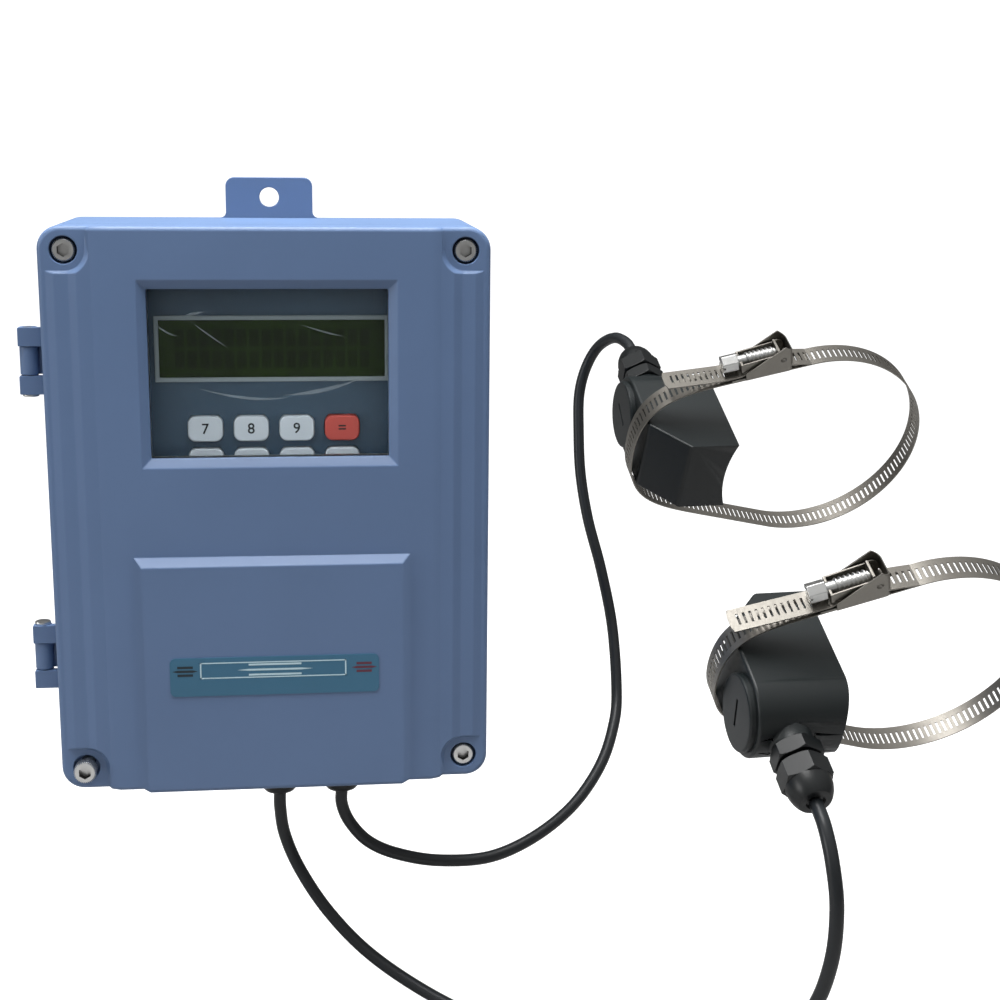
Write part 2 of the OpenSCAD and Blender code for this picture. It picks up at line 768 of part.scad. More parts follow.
module gland_body(shank, collar) {
  difference() {
    union() {
      cylinder(r = thread_r, h = shank);
      translate([0, 0, -collar]) hex_bar(gland_af, collar);
      translate([0, 0, -collar - groove_l - seal_l]) cylinder(r = thread_r, h = seal_l + groove_l);
    }
    translate([0, 0, -collar - groove_l - seal_l - cut])
      cylinder(r = thread_r - gland_wall, h = seal_l + cut);
    translate([0, 0, -collar - groove_l - seal_l - cut])
      cylinder(r = gland_in, h = collar + groove_l + seal_l + shank + 2 * cut);
  }
}

module gland_seal(collar) {
  translate([0, 0, -collar - groove_l - seal_l]) difference() {
    cylinder(r = thread_r - gland_wall, h = seal_l);
    translate([0, 0, -cut]) cylinder(r = lead_r, h = seal_l + 2 * cut);
  }
}

module gland_nut(collar, hexagon, dome) {
  difference() {
    union() {
      translate([0, 0, -collar - groove_l - hexagon]) hex_bar(gland_af, hexagon);
      translate([0, 0, -collar - groove_l - hexagon - dome])
        cylinder(r1 = thread_r - gland_wall, r2 = gland_af / 2, h = dome);
    }
    translate([0, 0, -collar - groove_l - seal_l]) cylinder(r = thread_r, h = seal_l + cut);
    translate([0, 0, -collar - groove_l - hexagon - dome - cut])
      cylinder(r = gland_in, h = hexagon + dome + 2 * cut);
  }
}

module at_entries(xs) {
  at_case() for (x = xs) translate([x, -entry_d, -case_h / 2]) children();
}

case_gland_l = case_collar_l + groove_l + case_hex_l + case_dome_l;
module case_gland_bodies() {
  color(black) at_entries(lead_xs) gland_body(wall + 2 * groove_l, case_collar_l);
}
module case_gland_nuts() {
  color(black) at_entries(lead_xs) gland_nut(case_collar_l, case_hex_l, case_dome_l);
}

module blanking_plugs() {
  color(black) at_entries(plug_xs) {
    cylinder(r = thread_r, h = wall + 2 * groove_l);
    translate([0, 0, -gland_wall * 2]) hex_bar(gland_af, gland_wall * 2);
  }
}

module lead_tails() {
  top = block_z - block_h / 2 + case_h / 2;
  color(lead_black) at_entries(lead_xs) translate([0, 0, -case_gland_l])
    cylinder(r = lead_r, h = case_gland_l + top);
}

label_in = 15.5;
label_w = raised_w - 2 * label_in;
label_h = 17.6;
label_up = 54.3;
label_z = label_up - case_h / 2;
label_t = 0.4;
module label_plate() {
  color([0.16, 0.42, 0.42]) at_case() slab(raised_d, label_t) translate([0, label_z])
    square([label_w, label_h], center = true);
}

module key_7() { key(0, 0, key_grey); }
module key_8() { key(1, 0, key_grey); }
module key_9() { key(2, 0, key_grey); }
module key_menu() { key(3, 0, key_red); }
module key_4() { key(0, 1, key_grey); }
module key_5() { key(1, 1, key_grey); }
module key_6() { key(2, 1, key_grey); }
module key_up() { key(3, 1, key_grey); }
module key_1() { key(0, 2, key_grey); }
module key_2() { key(1, 2, key_grey); }
module key_3() { key(2, 2, key_grey); }
module key_down() { key(3, 2, key_grey); }
module key_0() { key(0, 3, key_grey); }
module key_point() { key(1, 3, key_grey); }
module key_left() { key(2, 3, key_grey); }
module key_enter() { key(3, 3, key_grey); }

// Pipe frame: X points out of the pipe through a transducer, Z up along the pipe
pipe_down = [sin(pipe_swing) * cos(pipe_dip), -cos(pipe_swing) * cos(pipe_dip), -sin(pipe_dip)];
pipe_out = [-cos(pipe_swing), -sin(pipe_swing), 0];
upper_clamp = [274.2, 22.7, -122.6];
lower_clamp = upper_clamp + pipe_down * clamp_span;

module on_pipe(place) {
  translate(place) rotate([90 + pipe_dip, 0, pipe_swing]) rotate([0, 180, 0]) children();
}
module upper_probe() { on_pipe(upper_clamp) rotate([180, 0, 0]) children(); }
module lower_probe() { on_pipe(lower_clamp) children(); }
module both_probes() {
  upper_probe() children();
  lower_probe() children();
}

// One transducer: X out of the pipe, Z along it toward the other transducer
top_r = pipe_r + probe_h;
foot_r = pipe_r - probe_w / 6;
gland_r = pipe_r + probe_gland_h;
round_r = probe_w / 2;
seat_u = -probe_back - round_r - neck_l;
ring_w = 1;
module probe_body() {
  difference() {
    union() {
      translate([0, round_r, 0]) rotate([90, 0, 0]) linear_extrude(probe_w) polygon([
        [foot_r, -probe_back], [foot_r, probe_l], [pipe_r + probe_nose, probe_l],
        [top_r, probe_flat], [top_r, -probe_back]]);
      translate([foot_r, 0, -probe_back]) rotate([0, 90, 0])
        cylinder(r = round_r, h = top_r - foot_r);
      translate([gland_r, 0, seat_u]) cylinder(r = thread_r + gland_wall, h = round_r);
    }
    cylinder(r = pipe_r, h = 4 * probe_w, center = true);
    translate([pipe_r + cavity_floor, 0, -probe_back]) rotate([0, 90, 0])
      cylinder(r = cavity_r, h = probe_h);
    translate([gland_r, 0, seat_u - cut]) cylinder(r = entry_r, h = round_r);
    translate([top_r - ring_w, 0, -probe_back]) rotate([0, 90, 0]) difference() {
      cylinder(r = cavity_r + 2 * ring_w, h = ring_w + cut);
      translate([0, 0, -cut]) cylinder(r = cavity_r + ring_w, h = ring_w + 3 * cut);
    }
  }
}

module upper_transducer() { color(black) upper_probe() probe_body(); }
module lower_transducer() { color(black) lower_probe() probe_body(); }

cap_slot_l = 13;
cap_slot_w = 1.8;
skirt_l = 6;
// Each cap rests where its thread stopped it
upper_cap_turn = 70;
lower_cap_turn = 18;
module cap(turn) {
  translate([top_r, 0, -probe_back]) rotate([0, 90, 0]) difference() {
    union() {
      cylinder(r = cap_r, h = cap_t);
      translate([0, 0, -skirt_l]) cylinder(r = cavity_r - pin_fit, h = skirt_l + cap_t);
    }
    rotate(turn) translate([-cap_slot_w / 2, -cap_slot_l / 2, cap_t / 2])
      cube([cap_slot_w, cap_slot_l, cap_t]);
  }
}
module transducer_caps() {
  color(black) {
    upper_probe() cap(upper_cap_turn);
    lower_probe() cap(lower_cap_turn);
  }
}

module cap_seals() {
  color(black) both_probes() translate([top_r - ring_w, 0, -probe_back]) rotate([0, 90, 0])
    difference() {
      cylinder(r = cavity_r + 2 * ring_w, h = ring_w);
      translate([0, 0, -cut]) cylinder(r = cavity_r + ring_w, h = ring_w + 2 * cut);
    }
}

wedge_tilt = 31;
wedge_h = 12;
wedge_r = cavity_r - ring_w;
crystal_t = 2;
module sound_wedges() {
  color([0.75, 0.62, 0.35]) both_probes() translate([pipe_r + cavity_floor, 0, -probe_back])
    difference() {
      rotate([0, 90, 0]) cylinder(r = wedge_r, h = 2 * wedge_h);
      translate([wedge_h, 0, 0]) rotate([0, 90 + wedge_tilt, 0])
        cylinder(r = 2 * probe_w, h = probe_w);
    }
}

module piezo_crystals() {
  color(brass) both_probes() translate([pipe_r + cavity_floor + wedge_h, 0, -probe_back])
    rotate([0, 90 + wedge_tilt, 0]) cylinder(r = wedge_r / 1.5, h = crystal_t);
}

// Transducer glands point away from the other transducer
module at_glands() { both_probes() translate([gland_r, 0, seat_u]) children(); }
module probe_gland_bodies() { color(black) at_glands() gland_body(seal_l, collar_l); }
module probe_gland_nuts() { color(black) at_glands() gland_nut(collar_l, hex_l, dome_l); }
module gland_seals() {
  color(black) {
    at_entries(lead_xs) gland_seal(case_collar_l);
    at_glands() gland_seal(collar_l);
  }
}

// Band clamp: the loop leaves the pipe on a tangent and bends over the transducer
function out_at(lean) = [cos(lean), sin(lean)];
function along(lean) = [sin(lean), -cos(lean)];
// Saddle frame: X along the band toward the screw head, Y away from the pipe
module at_saddle(slip, lean) {
  rotate([0, 0, lean]) translate([pipe_r, -slip, 0]) rotate([0, 0, -90]) children();
}

floor_t = 1;
floor_y = band_t + floor_t;
tail_lift = 0.4;
bed_x0 = 9.5;
bed_x1 = 26;
bed_y = 3.5;
worm_x0 = 10.5;
pivot = [7.7, 8];
neck_room = 2.2;
head_x0 = worm_x0 + worm_l + neck_room;
// The free layer of the band climbs from the pipe, over the saddle and out under the head
function tail_pts(slip, tail_end) = [
  [max(-bed_x0, floor_t - slip), band_t / 4], [0, floor_y + tail_lift], [bed_x0, bed_y],
  [bed_x1, bed_y], [head_x0, floor_y + 2 * tail_lift],
  [head_x0 + worm_head_l + floor_t, floor_y + 2 * tail_lift], tail_end];

bow_steps = 14;
bow_pull = 0.6;
bow_reach = 0.72;
function arc_to(a, b, c, d, t) = (1 - t) * (1 - t) * (1 - t) * a + 3 * t * (1 - t) * (1 - t) * b
  + 3 * t * t * (1 - t) * c + t * t * t * d;
function heading_to(a, b, c, d, t) = unit((1 - t) * (1 - t) * (b - a) + 2 * t * (1 - t) * (c - b)
  + t * t * (d - c));
// Half of the loop's outline above the pipe, grown outward
function bow_pts(slip, lean, bow, grow) = let (
  q = pipe_r * out_at(lean) + (slip + scoop_x1 + tongue_l) * along(lean),
  top = [top_r + bow, 0],
  b = q + bow_pull * (top[0] - q[0]) * along(lean),
  c = [top[0], bow_reach * q[1]])
  [for (i = [0:bow_steps]) let (t = i / bow_steps, h = heading_to(q, b, c, top, t))
    arc_to(q, b, c, top, t) + grow * [-h[1], h[0]]];

// The straight part starts a little inside the pipe's circle, so that the two meet cleanly
graze = 0.03;
module band_outline(slip, lean, bow, grow) {
  r = pipe_r + grow;
  circle(r = r);
  for (m = [0, 1]) mirror([0, m])
    polygon(concat([[0, 0], (r - graze) * out_at(lean)], bow_pts(slip, lean, bow, grow)));
}

// The free layer is a hair narrower, so that its sides don't lie in those of the loop
tail_trim = 0.1;
module band(slip, lean, bow, tail_end) {
  pts = tail_pts(slip, tail_end);
  n = len(pts);
  slots = floor((tail_end[0] - 2 * slot_pitch) / slot_pitch);
  linear_extrude(band_w, center = true) difference() {
    band_outline(slip, lean, bow, band_t);
    band_outline(slip, lean, bow, 0);
  }
  at_saddle(slip, lean) difference() {
    linear_extrude(band_w - tail_trim, center = true)
      polygon(concat(pts, [for (i = [n - 1:-1:0]) pts[i] + [0, band_t]]));
    for (i = [1:slots]) translate([i * slot_pitch, lookup(i * slot_pitch, pts), 0])
      cube([slot_w, 4 * band_t, slot_l], center = true);
    // Clipped corners of the tail
    for (s = [-1, 1]) translate([tail_end[0], tail_end[1], s * band_w / 2]) rotate([0, 45, 0])
      cube([slot_l / 1.5, 8 * band_t, slot_l / 1.5], center = true);
  }
}
upper_tail = [66.5, 6];
lower_tail = [72, 4.5];
module upper_band() {
  color(steel) on_pipe(upper_clamp) band(upper_slip, upper_lean, upper_bow, upper_tail);
}
module lower_band() {
  color(steel) on_pipe(lower_clamp) band(lower_slip, lower_lean, lower_bow, lower_tail);
}

// Stamped saddle: a scoop that is open toward the screw head, with a dimple on each side
sheet = 0.7;
scoop_in = band_w / 2 + 0.3;
scoop_out = scoop_in + sheet;
scoop_x1 = 27;
scoop_low = 4.2;
scoop_high = 15.4;
scoop_x0 = 2.6;
scoop_round = 3;
scoop_end_high = 12;
rim_x = 6.4;
dimple_r = 1.2;
tongue_l = 7;
module scoop_plan(inset) {
  bend_x = scoop_x0 + scoop_round;
  for (s = [-1, 1]) translate([bend_x, s * (scoop_out - scoop_round)]) circle(r = scoop_round - inset);
  translate([scoop_x0 + inset, scoop_round - scoop_out])
    square([scoop_x1 - scoop_x0 - inset, 2 * (scoop_out - scoop_round)]);
  translate([bend_x, inset - scoop_out]) square([scoop_x1 - bend_x, 2 * (scoop_out - inset)]);
}
module saddle() {
  difference() {
    union() {
      translate([0, band_t, 0]) rotate([-90, 0, 0]) linear_extrude(floor_t) {
        scoop_plan(0);
        translate([scoop_x1, -scoop_in]) square([tongue_l, 2 * scoop_in]);
      }
      intersection() {
        rotate([-90, 0, 0]) linear_extrude(scoop_high) difference() {
          scoop_plan(0);
          scoop_plan(sheet);
        }
        linear_extrude(4 * scoop_out, center = true) polygon([
          [-cut, band_t], [scoop_x1 + cut, band_t], [scoop_x1 + cut, scoop_low],
          [scoop_x1 - 3 * sheet, scoop_low + 2 * sheet], [rim_x, scoop_high],
          [scoop_x0, scoop_end_high], [-cut, scoop_end_high]]);
      }
      translate([bed_x0 + sheet, band_t, -scoop_in + sheet])
        cube([bed_x1 - bed_x0 - 2 * sheet, bed_y - band_t, 2 * scoop_in - 2 * sheet]);
      for (s = [0, 1]) mirror([0, 0, s]) translate([pivot[0], pivot[1], cheek_in - tail_lift / 2])
        cylinder(r = dimple_r, h = scoop_out - cheek_in);
    }
    for (s = [0, 1]) mirror([0, 0, s]) translate([pivot[0], pivot[1], scoop_out + sheet])
      sphere(r = 2.3 * sheet);
    // Slot for the free layer of the band
    translate([-cut, floor_y, -scoop_in]) cube([scoop_out, bed_y + band_t - floor_y, 2 * scoop_in]);
  }
}
module upper_saddle() { color(steel) on_pipe(upper_clamp) at_saddle(upper_slip, upper_lean) saddle(); }
module lower_saddle() { color(steel) on_pipe(lower_clamp) at_saddle(lower_slip, lower_lean) saddle(); }

// Carrier: it holds the worm and swings up round the dimples to free the band
cheek_in = 5;
cheek_t = 0.8;
cheek_low = bed_y + band_t + 0.5;
cheek_r = pivot[1] - cheek_low;
cheek_high = pivot[1] + worm_r - sheet;
journal_r = 2;
neck_r = 2.6;
plate_t = 1.2;
thrust_x = worm_x0 - plate_t - sheet;
tab_rise_l = 4.5;
tab_high = pivot[1] + tab_rise_l;
neck_x = worm_x0 + worm_l + tail_lift;
module carrier() {
  difference() {
    union() {
      for (s = [0, 1]) mirror([0, 0, s]) translate([0, 0, cheek_in]) linear_extrude(cheek_t) {
        translate(pivot) circle(r = cheek_r);
        polygon([[pivot[0], cheek_low], [neck_x + plate_t, cheek_low],
          [neck_x + plate_t, cheek_high - 2 * sheet], [pivot[0], cheek_high]]);
      }
      translate([thrust_x, cheek_low, -cheek_in])
        cube([plate_t, tab_high - cheek_low, 2 * cheek_in]);
      translate([neck_x, cheek_low, -cheek_in])
        cube([plate_t, cheek_high - 2 * sheet - cheek_low, 2 * cheek_in]);
    }
    translate([pivot[0], pivot[1], 0])
      cylinder(r = dimple_r + pin_fit, h = 4 * cheek_in, center = true);
    translate([0, pivot[1], 0]) rotate([0, 90, 0])
      cylinder(r = journal_r + pin_fit, h = worm_x0 + worm_l / 2);
    translate([worm_x0 + worm_l / 2, pivot[1], 0]) rotate([0, 90, 0])
      cylinder(r = neck_r + pin_fit, h = worm_l);
  }
}
module upper_carrier() { color(steel) on_pipe(upper_clamp) at_saddle(upper_slip, upper_lean) carrier(); }
module lower_carrier() { color(steel) on_pipe(lower_clamp) at_saddle(lower_slip, lower_lean) carrier(); }

// Worm screw: thread rings, a journal, a neck and a slotted hexagon head
thread_pitch = 2.6;
thread_cut = 0.6;
head_slot = 1.3;
module worm() {
  turns = floor(worm_l / thread_pitch);
  translate([0, pivot[1], 0]) rotate([0, 90, 0]) difference() {
    union() {
      translate([0, 0, thrust_x]) cylinder(r = journal_r, h = worm_x0 - thrust_x + cut);
      translate([0, 0, worm_x0]) cylinder(r = worm_r - thread_cut, h = worm_l);
      for (i = [0:turns - 1]) translate([0, 0, worm_x0 + (i + 0.5) * worm_l / turns])
        cylinder(r = worm_r, h = thread_pitch / 2, center = true);
      translate([0, 0, worm_x0 + worm_l]) cylinder(r = neck_r, h = head_x0 - worm_x0 - worm_l);
      translate([0, 0, head_x0]) rotate(30) hex_bar(worm_af, worm_head_l);
    }
    translate([0, 0, head_x0 + worm_head_l]) cube([worm_af * 2, head_slot, 2 * head_slot], center = true);
  }
}
module upper_worm() { color(steel) on_pipe(upper_clamp) at_saddle(upper_slip, upper_lean) worm(); }
module lower_worm() { color(steel) on_pipe(lower_clamp) at_saddle(lower_slip, lower_lean) worm(); }

// Leads: round tubes along hand-picked points, from a case gland to a transducer gland
exit_l = -seat_u + collar_l + groove_l + hex_l + dome_l;
upper_exit = upper_clamp + pipe_out * gland_r - pipe_down * exit_l;
lower_exit = lower_clamp + pipe_out * gland_r + pipe_down * exit_l;
lead_z = -hang_z - case_h / 2 - case_gland_l;
upper_route = concat([[lead_xs[1], -entry_d, lead_z]], [
  [30, -28, -292], [34, -28, -302], [43, -29, -312], [57, -29, -319], [78, -28, -324],
  [104, -24, -325], [128, -15, -319], [150, 0, -309], [167, 18, -295], [177, 36, -280],
  [181, 50, -265], [181, 67, -234], [176, 78, -204], [170, 89, -178], [167, 99, -154],
  [167, 108, -131], [168, 114, -112], [172, 116, -97], [178, 112, -85], [185, 102, -79],
  [190, 90, -81]], [upper_exit]);
lower_route = concat([[lead_xs[0], -entry_d, lead_z]], [
  [0, -28, -293], [2, -28, -307], [9, -31, -324], [22, -38, -343], [40, -48, -360],
  [63, -61, -373], [89, -78, -381], [117, -98, -383], [144, -120, -380], [169, -144, -371],
  [190, -168, -356], [206, -189, -337], [215, -203, -314], [219, -210, -290],
  [220, -210, -268], [219, -205, -251], [218, -196, -239]], [lower_exit]);

function unit(v) = v / norm(v);
function blend(a, b, c, d, t) = (2 * b + (c - a) * t + (2 * a - 5 * b + 4 * c - d) * t * t
  + (3 * b - a - 3 * c + d) * t * t * t) / 2;
function smooth(p, steps) = let (n = len(p), q = concat([2 * p[0] - p[1]], p, [2 * p[n - 1] - p[n - 2]]))
  concat([for (i = [1:n - 1], j = [0:steps - 1]) blend(q[i - 1], q[i], q[i + 1], q[i + 2], j / steps)],
    [p[n - 1]]);
function headings(p, ends) = [for (i = [0:len(p) - 1])
  i == 0 ? ends[0] : i == len(p) - 1 ? ends[1] : unit(p[i + 1] - p[i - 1])];
function square_to(v, t) = unit(v - t * (v * t));
function sides_of(t, v0) = [for (i = 0, v = square_to(v0, t[0]); i < len(t);
  i = i + 1, v = square_to(v, t[min(i, len(t) - 1)])) v];

lead_sides = 10;
module lead(route, first, last) {
  p = smooth(route, 2);
  t = headings(p, [first, last]);
  v = sides_of(t, [0, 1, 0.2]);
  n = len(p);
  k = lead_sides;
  pts = [for (i = [0:n - 1], j = [0:k - 1])
    p[i] + lead_r * (v[i] * cos(j * 360 / k) + cross(t[i], v[i]) * sin(j * 360 / k))];
  polyhedron(pts, concat(
    [[for (j = [0:k - 1]) j]],
    [[for (j = [k - 1:-1:0]) (n - 1) * k + j]],
    [for (i = [0:n - 2], j = [0:k - 1])
      [i * k + j, (i + 1) * k + j, (i + 1) * k + (j + 1) % k, i * k + (j + 1) % k]]));
}
module upper_lead() { color(lead_black) lead(upper_route, [0, 0, -1], pipe_down); }
module lower_lead() { color(lead_black) lead(lower_route, [0, 0, -1], -pipe_down); }

base();
lid();
lid_gasket();
hinge_pins();
lid_screws();
loose_lid_screw();
window_pane();
window_seal();
window_retainer();
window_screws();
inner_panel();
panel_posts();
lcd_frame();
lcd_module();
keypad_board();
main_board();
transformer();
terminal_blocks();
ribbon_cable();
small_screws();
case_gland_bodies();
case_gland_nuts();
gland_seals();
blanking_plugs();
label_plate();
lead_tails();
key_7();
key_8();
key_9();
key_menu();
key_4();
key_5();
key_6();
key_up();
key_1();
key_2();
key_3();
key_down();
key_0();
key_point();
key_left();
key_enter();
upper_transducer();
lower_transducer();
transducer_caps();
cap_seals();
sound_wedges();
piezo_crystals();
probe_gland_bodies();
probe_gland_nuts();
upper_band();
lower_band();
upper_saddle();
lower_saddle();
upper_carrier();
lower_carrier();
upper_worm();
lower_worm();
upper_lead();
lower_lead();
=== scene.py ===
"""Clamp-on ultrasonic flow meter: the looks of its case, leads, transducers and clamps, and the stage."""
import json
import math

import bmesh
import bpy
from bpy.props import FloatProperty, FloatVectorProperty, IntProperty, PointerProperty
from mathutils import Matrix, Vector

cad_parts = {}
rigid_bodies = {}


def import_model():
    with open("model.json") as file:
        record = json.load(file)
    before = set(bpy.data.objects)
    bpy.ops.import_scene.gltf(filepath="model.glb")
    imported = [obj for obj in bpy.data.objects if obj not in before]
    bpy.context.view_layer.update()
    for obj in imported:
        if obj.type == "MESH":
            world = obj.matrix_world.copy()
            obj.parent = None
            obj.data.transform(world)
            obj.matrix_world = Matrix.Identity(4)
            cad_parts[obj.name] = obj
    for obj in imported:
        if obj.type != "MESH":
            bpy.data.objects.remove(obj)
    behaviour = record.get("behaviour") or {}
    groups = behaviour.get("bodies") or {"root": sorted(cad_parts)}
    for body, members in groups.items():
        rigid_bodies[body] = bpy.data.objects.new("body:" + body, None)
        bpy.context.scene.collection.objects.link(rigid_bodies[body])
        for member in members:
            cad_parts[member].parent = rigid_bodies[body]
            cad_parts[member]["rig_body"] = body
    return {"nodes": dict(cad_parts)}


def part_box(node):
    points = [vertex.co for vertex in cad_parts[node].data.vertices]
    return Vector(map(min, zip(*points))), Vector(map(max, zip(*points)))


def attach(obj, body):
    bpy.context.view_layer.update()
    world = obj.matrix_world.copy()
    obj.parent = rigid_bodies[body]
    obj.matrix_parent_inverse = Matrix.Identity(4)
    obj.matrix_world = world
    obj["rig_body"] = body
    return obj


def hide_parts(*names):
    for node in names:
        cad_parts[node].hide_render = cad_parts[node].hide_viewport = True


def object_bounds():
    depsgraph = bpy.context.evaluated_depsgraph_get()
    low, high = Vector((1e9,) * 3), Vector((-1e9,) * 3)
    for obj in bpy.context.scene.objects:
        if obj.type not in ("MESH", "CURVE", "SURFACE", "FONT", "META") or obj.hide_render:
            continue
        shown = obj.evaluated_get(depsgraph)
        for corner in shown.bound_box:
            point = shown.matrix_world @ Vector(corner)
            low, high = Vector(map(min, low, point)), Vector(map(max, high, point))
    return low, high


bl_info = {
    "name": "Clamp-on flow meter",
    "version": (1, 0, 0),
    "blender": (4, 5, 0),
    "location": "3D View > Sidebar > Flow meter",
    "description": "Dresses the packed clamp-on flow meter piece by piece",
    "category": "Object",
}

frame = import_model()
NODES = frame["nodes"]
CAD_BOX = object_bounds()
MM = 0.001

# The case's outline from its lid, in millimetres: its middle's height, its half width and half height.
# Then the radius of its corners, and a plane that all the edges of the lid's face lie before
LID_LOW, LID_HIGH = (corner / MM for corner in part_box("lid"))
CASE_Z = (LID_LOW.z + LID_HIGH.z) / 2
HALF_WIDTH = LID_HIGH.x
HALF_HEIGHT = (LID_HIGH.z - LID_LOW.z) / 2
CASE_CORNER = 10.0
LID_FACE = -74.0
# Places of the part's own frame, in millimetres: the pipe and the two clamps along it
PIPE_R = 55.0
UPPER_CLAMP = Vector((274.2, 22.7, -122.6))
PIPE_DIP = math.radians(28.9)
PIPE_SWING = math.radians(5.73)
PIPE_DOWN = Vector((math.sin(PIPE_SWING) * math.cos(PIPE_DIP),
                    -math.cos(PIPE_SWING) * math.cos(PIPE_DIP), -math.sin(PIPE_DIP)))
LOWER_CLAMP = UPPER_CLAMP + PIPE_DOWN * 154.1
# Each clamp: its place, its saddle's place along the band, the turn round the pipe at which the band leaves
# it, the end of the band's tail in the saddle's frame, and the height of its bow over the transducer
CLAMPS = {"upper": (UPPER_CLAMP, 7.5, math.radians(75), (66.5, 6.0), 97.2),
          "lower": (LOWER_CLAMP, 11.0, math.radians(71), (72.0, 4.5), 98.4)}
# Straight run of a band from its saddle's middle to the bow
STRAIGHT = 34.0
# Middle of a strip's thickness above the face that it lies on
HALF_STRIP = 0.3
# Places in a transducer's frame: the seat of its gland and the outer face of its cap's bore
GLAND_SEAT = (77, 0, -47)
CAP_SEAT = (93, 0, -25)
# Turn of each transducer's cap from straight across the pipe
CAP_TURNS = {"upper": 70, "lower": 18}
# The lid's screws: their places about the case's middle, the plane under their heads, and how far one of
# them is backed out
SCREW_X = 85.0
SCREW_Z = 115.3
SCREW_SEAT = -68.5
BACKED_OUT = 7.5
# The five entries in the case's underside: two hold glands, the others plugs
ENTRY_XS = (-60, -30, 0, 30, 60)
ENTRY_Y = -28
ENTRY_Z = CASE_Z - HALF_HEIGHT
GLAND_XS = (0, 30)
# Heights of a gland's collar, nut and dome, on a transducer and on the case
PROBE_GLAND = (7.5, 9.8, 9.2)
CASE_GLAND = (5, 8, 8)
# From the middle to a corner, the hexagons of a gland, 20 mm across flats, and of a screw's socket, 5 mm
# across flats
GLAND_HEX = 11.547
SOCKET_HEX = 2.887
# Radius of the label's and of a key's corners
LABEL_ROUND = 2.5
KEY_ROUND = 3.4


def linear(hex_value):
    """Turns an sRGB hex value to the linear colour that a socket takes."""
    parts = [int(hex_value[i:i + 2], 16) / 255 for i in (1, 3, 5)]
    return tuple(c / 12.92 if c <= 0.04045 else ((c + 0.055) / 1.055) ** 2.4 for c in parts)


def colour_setting(name, about, hex_value):
    """A colour setting."""
    return FloatVectorProperty(name=name, description=about, subtype="COLOR", size=3,
                               default=linear(hex_value), min=0, max=1)


def length_setting(name, about, default, low, high):
    """A length setting, in metres."""
    return FloatProperty(name=name, description=about, unit="LENGTH", default=default, min=low, max=high)


class MeterFinish(bpy.types.PropertyGroup):
    """Colours of the meter's finishes."""

    paint: colour_setting("Case paint", "Powder coat of the case", "#5c7397")
    plastic: colour_setting("Transducer plastic", "Moulded plastic of the transducers", "#101516")
    jacket: colour_setting("Lead jacket", "Jacket of the two leads", "#14171a")
    panel: colour_setting("Inner panel", "Printed film of the inner panel", "#394e60")
    key: colour_setting("Keys", "Moulded keys", "#c9d0d6")
    menu_key: colour_setting("Menu key", "The red key", "#c04c42")
    label: colour_setting("Label", "Ground colour of the label plate", "#386884")
    display: colour_setting("Display", "Unlit display glass", "#1f3009")


class MeterSizes(bpy.types.PropertyGroup):
    """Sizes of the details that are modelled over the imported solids."""

    lead_d: length_setting("Lead diameter", "Outer diameter of a lead", 0.006, 0.003, 0.01)
    case_round: length_setting("Case edge", "Radius of the lid's outer edge", 0.0022, 0.0002, 0.003)
    line_round: length_setting("Step edge", "Radius of the steps and rims of the lid", 0.0005, 0.0001, 0.001)
    band_w: length_setting("Band width", "Width of a clamp band", 0.0127, 0.008, 0.013)
    band_t: length_setting("Band thickness", "Thickness of a clamp band", 0.0006, 0.0004, 0.001)
    slot_pitch: length_setting("Slot pitch", "Distance of the band slots", 0.0028, 0.002, 0.004)
    thread_turns: IntProperty(name="Worm turns", description="Turns of thread on a clamp's worm",
                              default=8, min=4, max=12)
    light: FloatProperty(name="Light", description="Strength of the overhead light",
                         default=36.0, min=0.1, max=120)


def finish_of():
    return bpy.context.scene.meter_finish


def sizes_of():
    return bpy.context.scene.meter_sizes


# Modelling helpers

def only(obj):
    """Leaves one object selected and active, in object mode."""
    if bpy.context.object and bpy.context.object.mode != "OBJECT":
        bpy.ops.object.mode_set(mode="OBJECT")
    for other in list(bpy.context.selected_objects):
        other.select_set(False)
    obj.select_set(True)
    bpy.context.view_layer.objects.active = obj


def edit(obj, mode="FACE", whole=False):
    """Opens one object in edit mode, with nothing selected or with the whole of it."""
    only(obj)
    bpy.ops.object.mode_set(mode="EDIT")
    bpy.ops.mesh.select_mode(type=mode)
    bpy.ops.mesh.select_all(action="SELECT" if whole else "DESELECT")


def done(obj):
    bpy.ops.object.mode_set(mode="OBJECT")
    return obj


def pick(obj, kind, test):
    """Selects the faces, edges or points of the open mesh whose middle and normal pass the test."""
    mesh = bmesh.from_edit_mesh(obj.data)
    mesh.normal_update()
    found = 0
    for part in getattr(mesh, kind):
        if kind == "faces":
            ok = test(part.calc_center_median(), part.normal)
        elif kind == "edges":
            ok = test(part.verts[0].co, part.verts[1].co)
        else:
            ok = test(part.co, part.normal)
        part.select_set(bool(ok))
        found += bool(ok)
    mesh.select_flush_mode()
    bmesh.update_edit_mesh(obj.data)
    if not found:
        raise RuntimeError(f"nothing to shape in {obj.name}")


def modify(obj, kind, **settings):
    """Adds a modifier with its settings and applies it."""
    only(obj)
    m = obj.modifiers.new(kind.title(), kind)
    for key, value in settings.items():
        setattr(m, key, value)
    bpy.ops.object.modifier_apply(modifier=m.name)
    return obj


def primitive(kind, name, **settings):
    """Adds one of Blender's primitives under a piece's name."""
    if bpy.context.object and bpy.context.object.mode != "OBJECT":
        bpy.ops.object.mode_set(mode="OBJECT")
    bpy.ops.object.select_all(action="DESELECT")
    getattr(bpy.ops.mesh, f"primitive_{kind}_add")(**settings)
    obj = bpy.context.object
    obj.name = name
    obj.data.name = name
    bpy.ops.object.transform_apply(location=True, rotation=True, scale=True)
    return obj


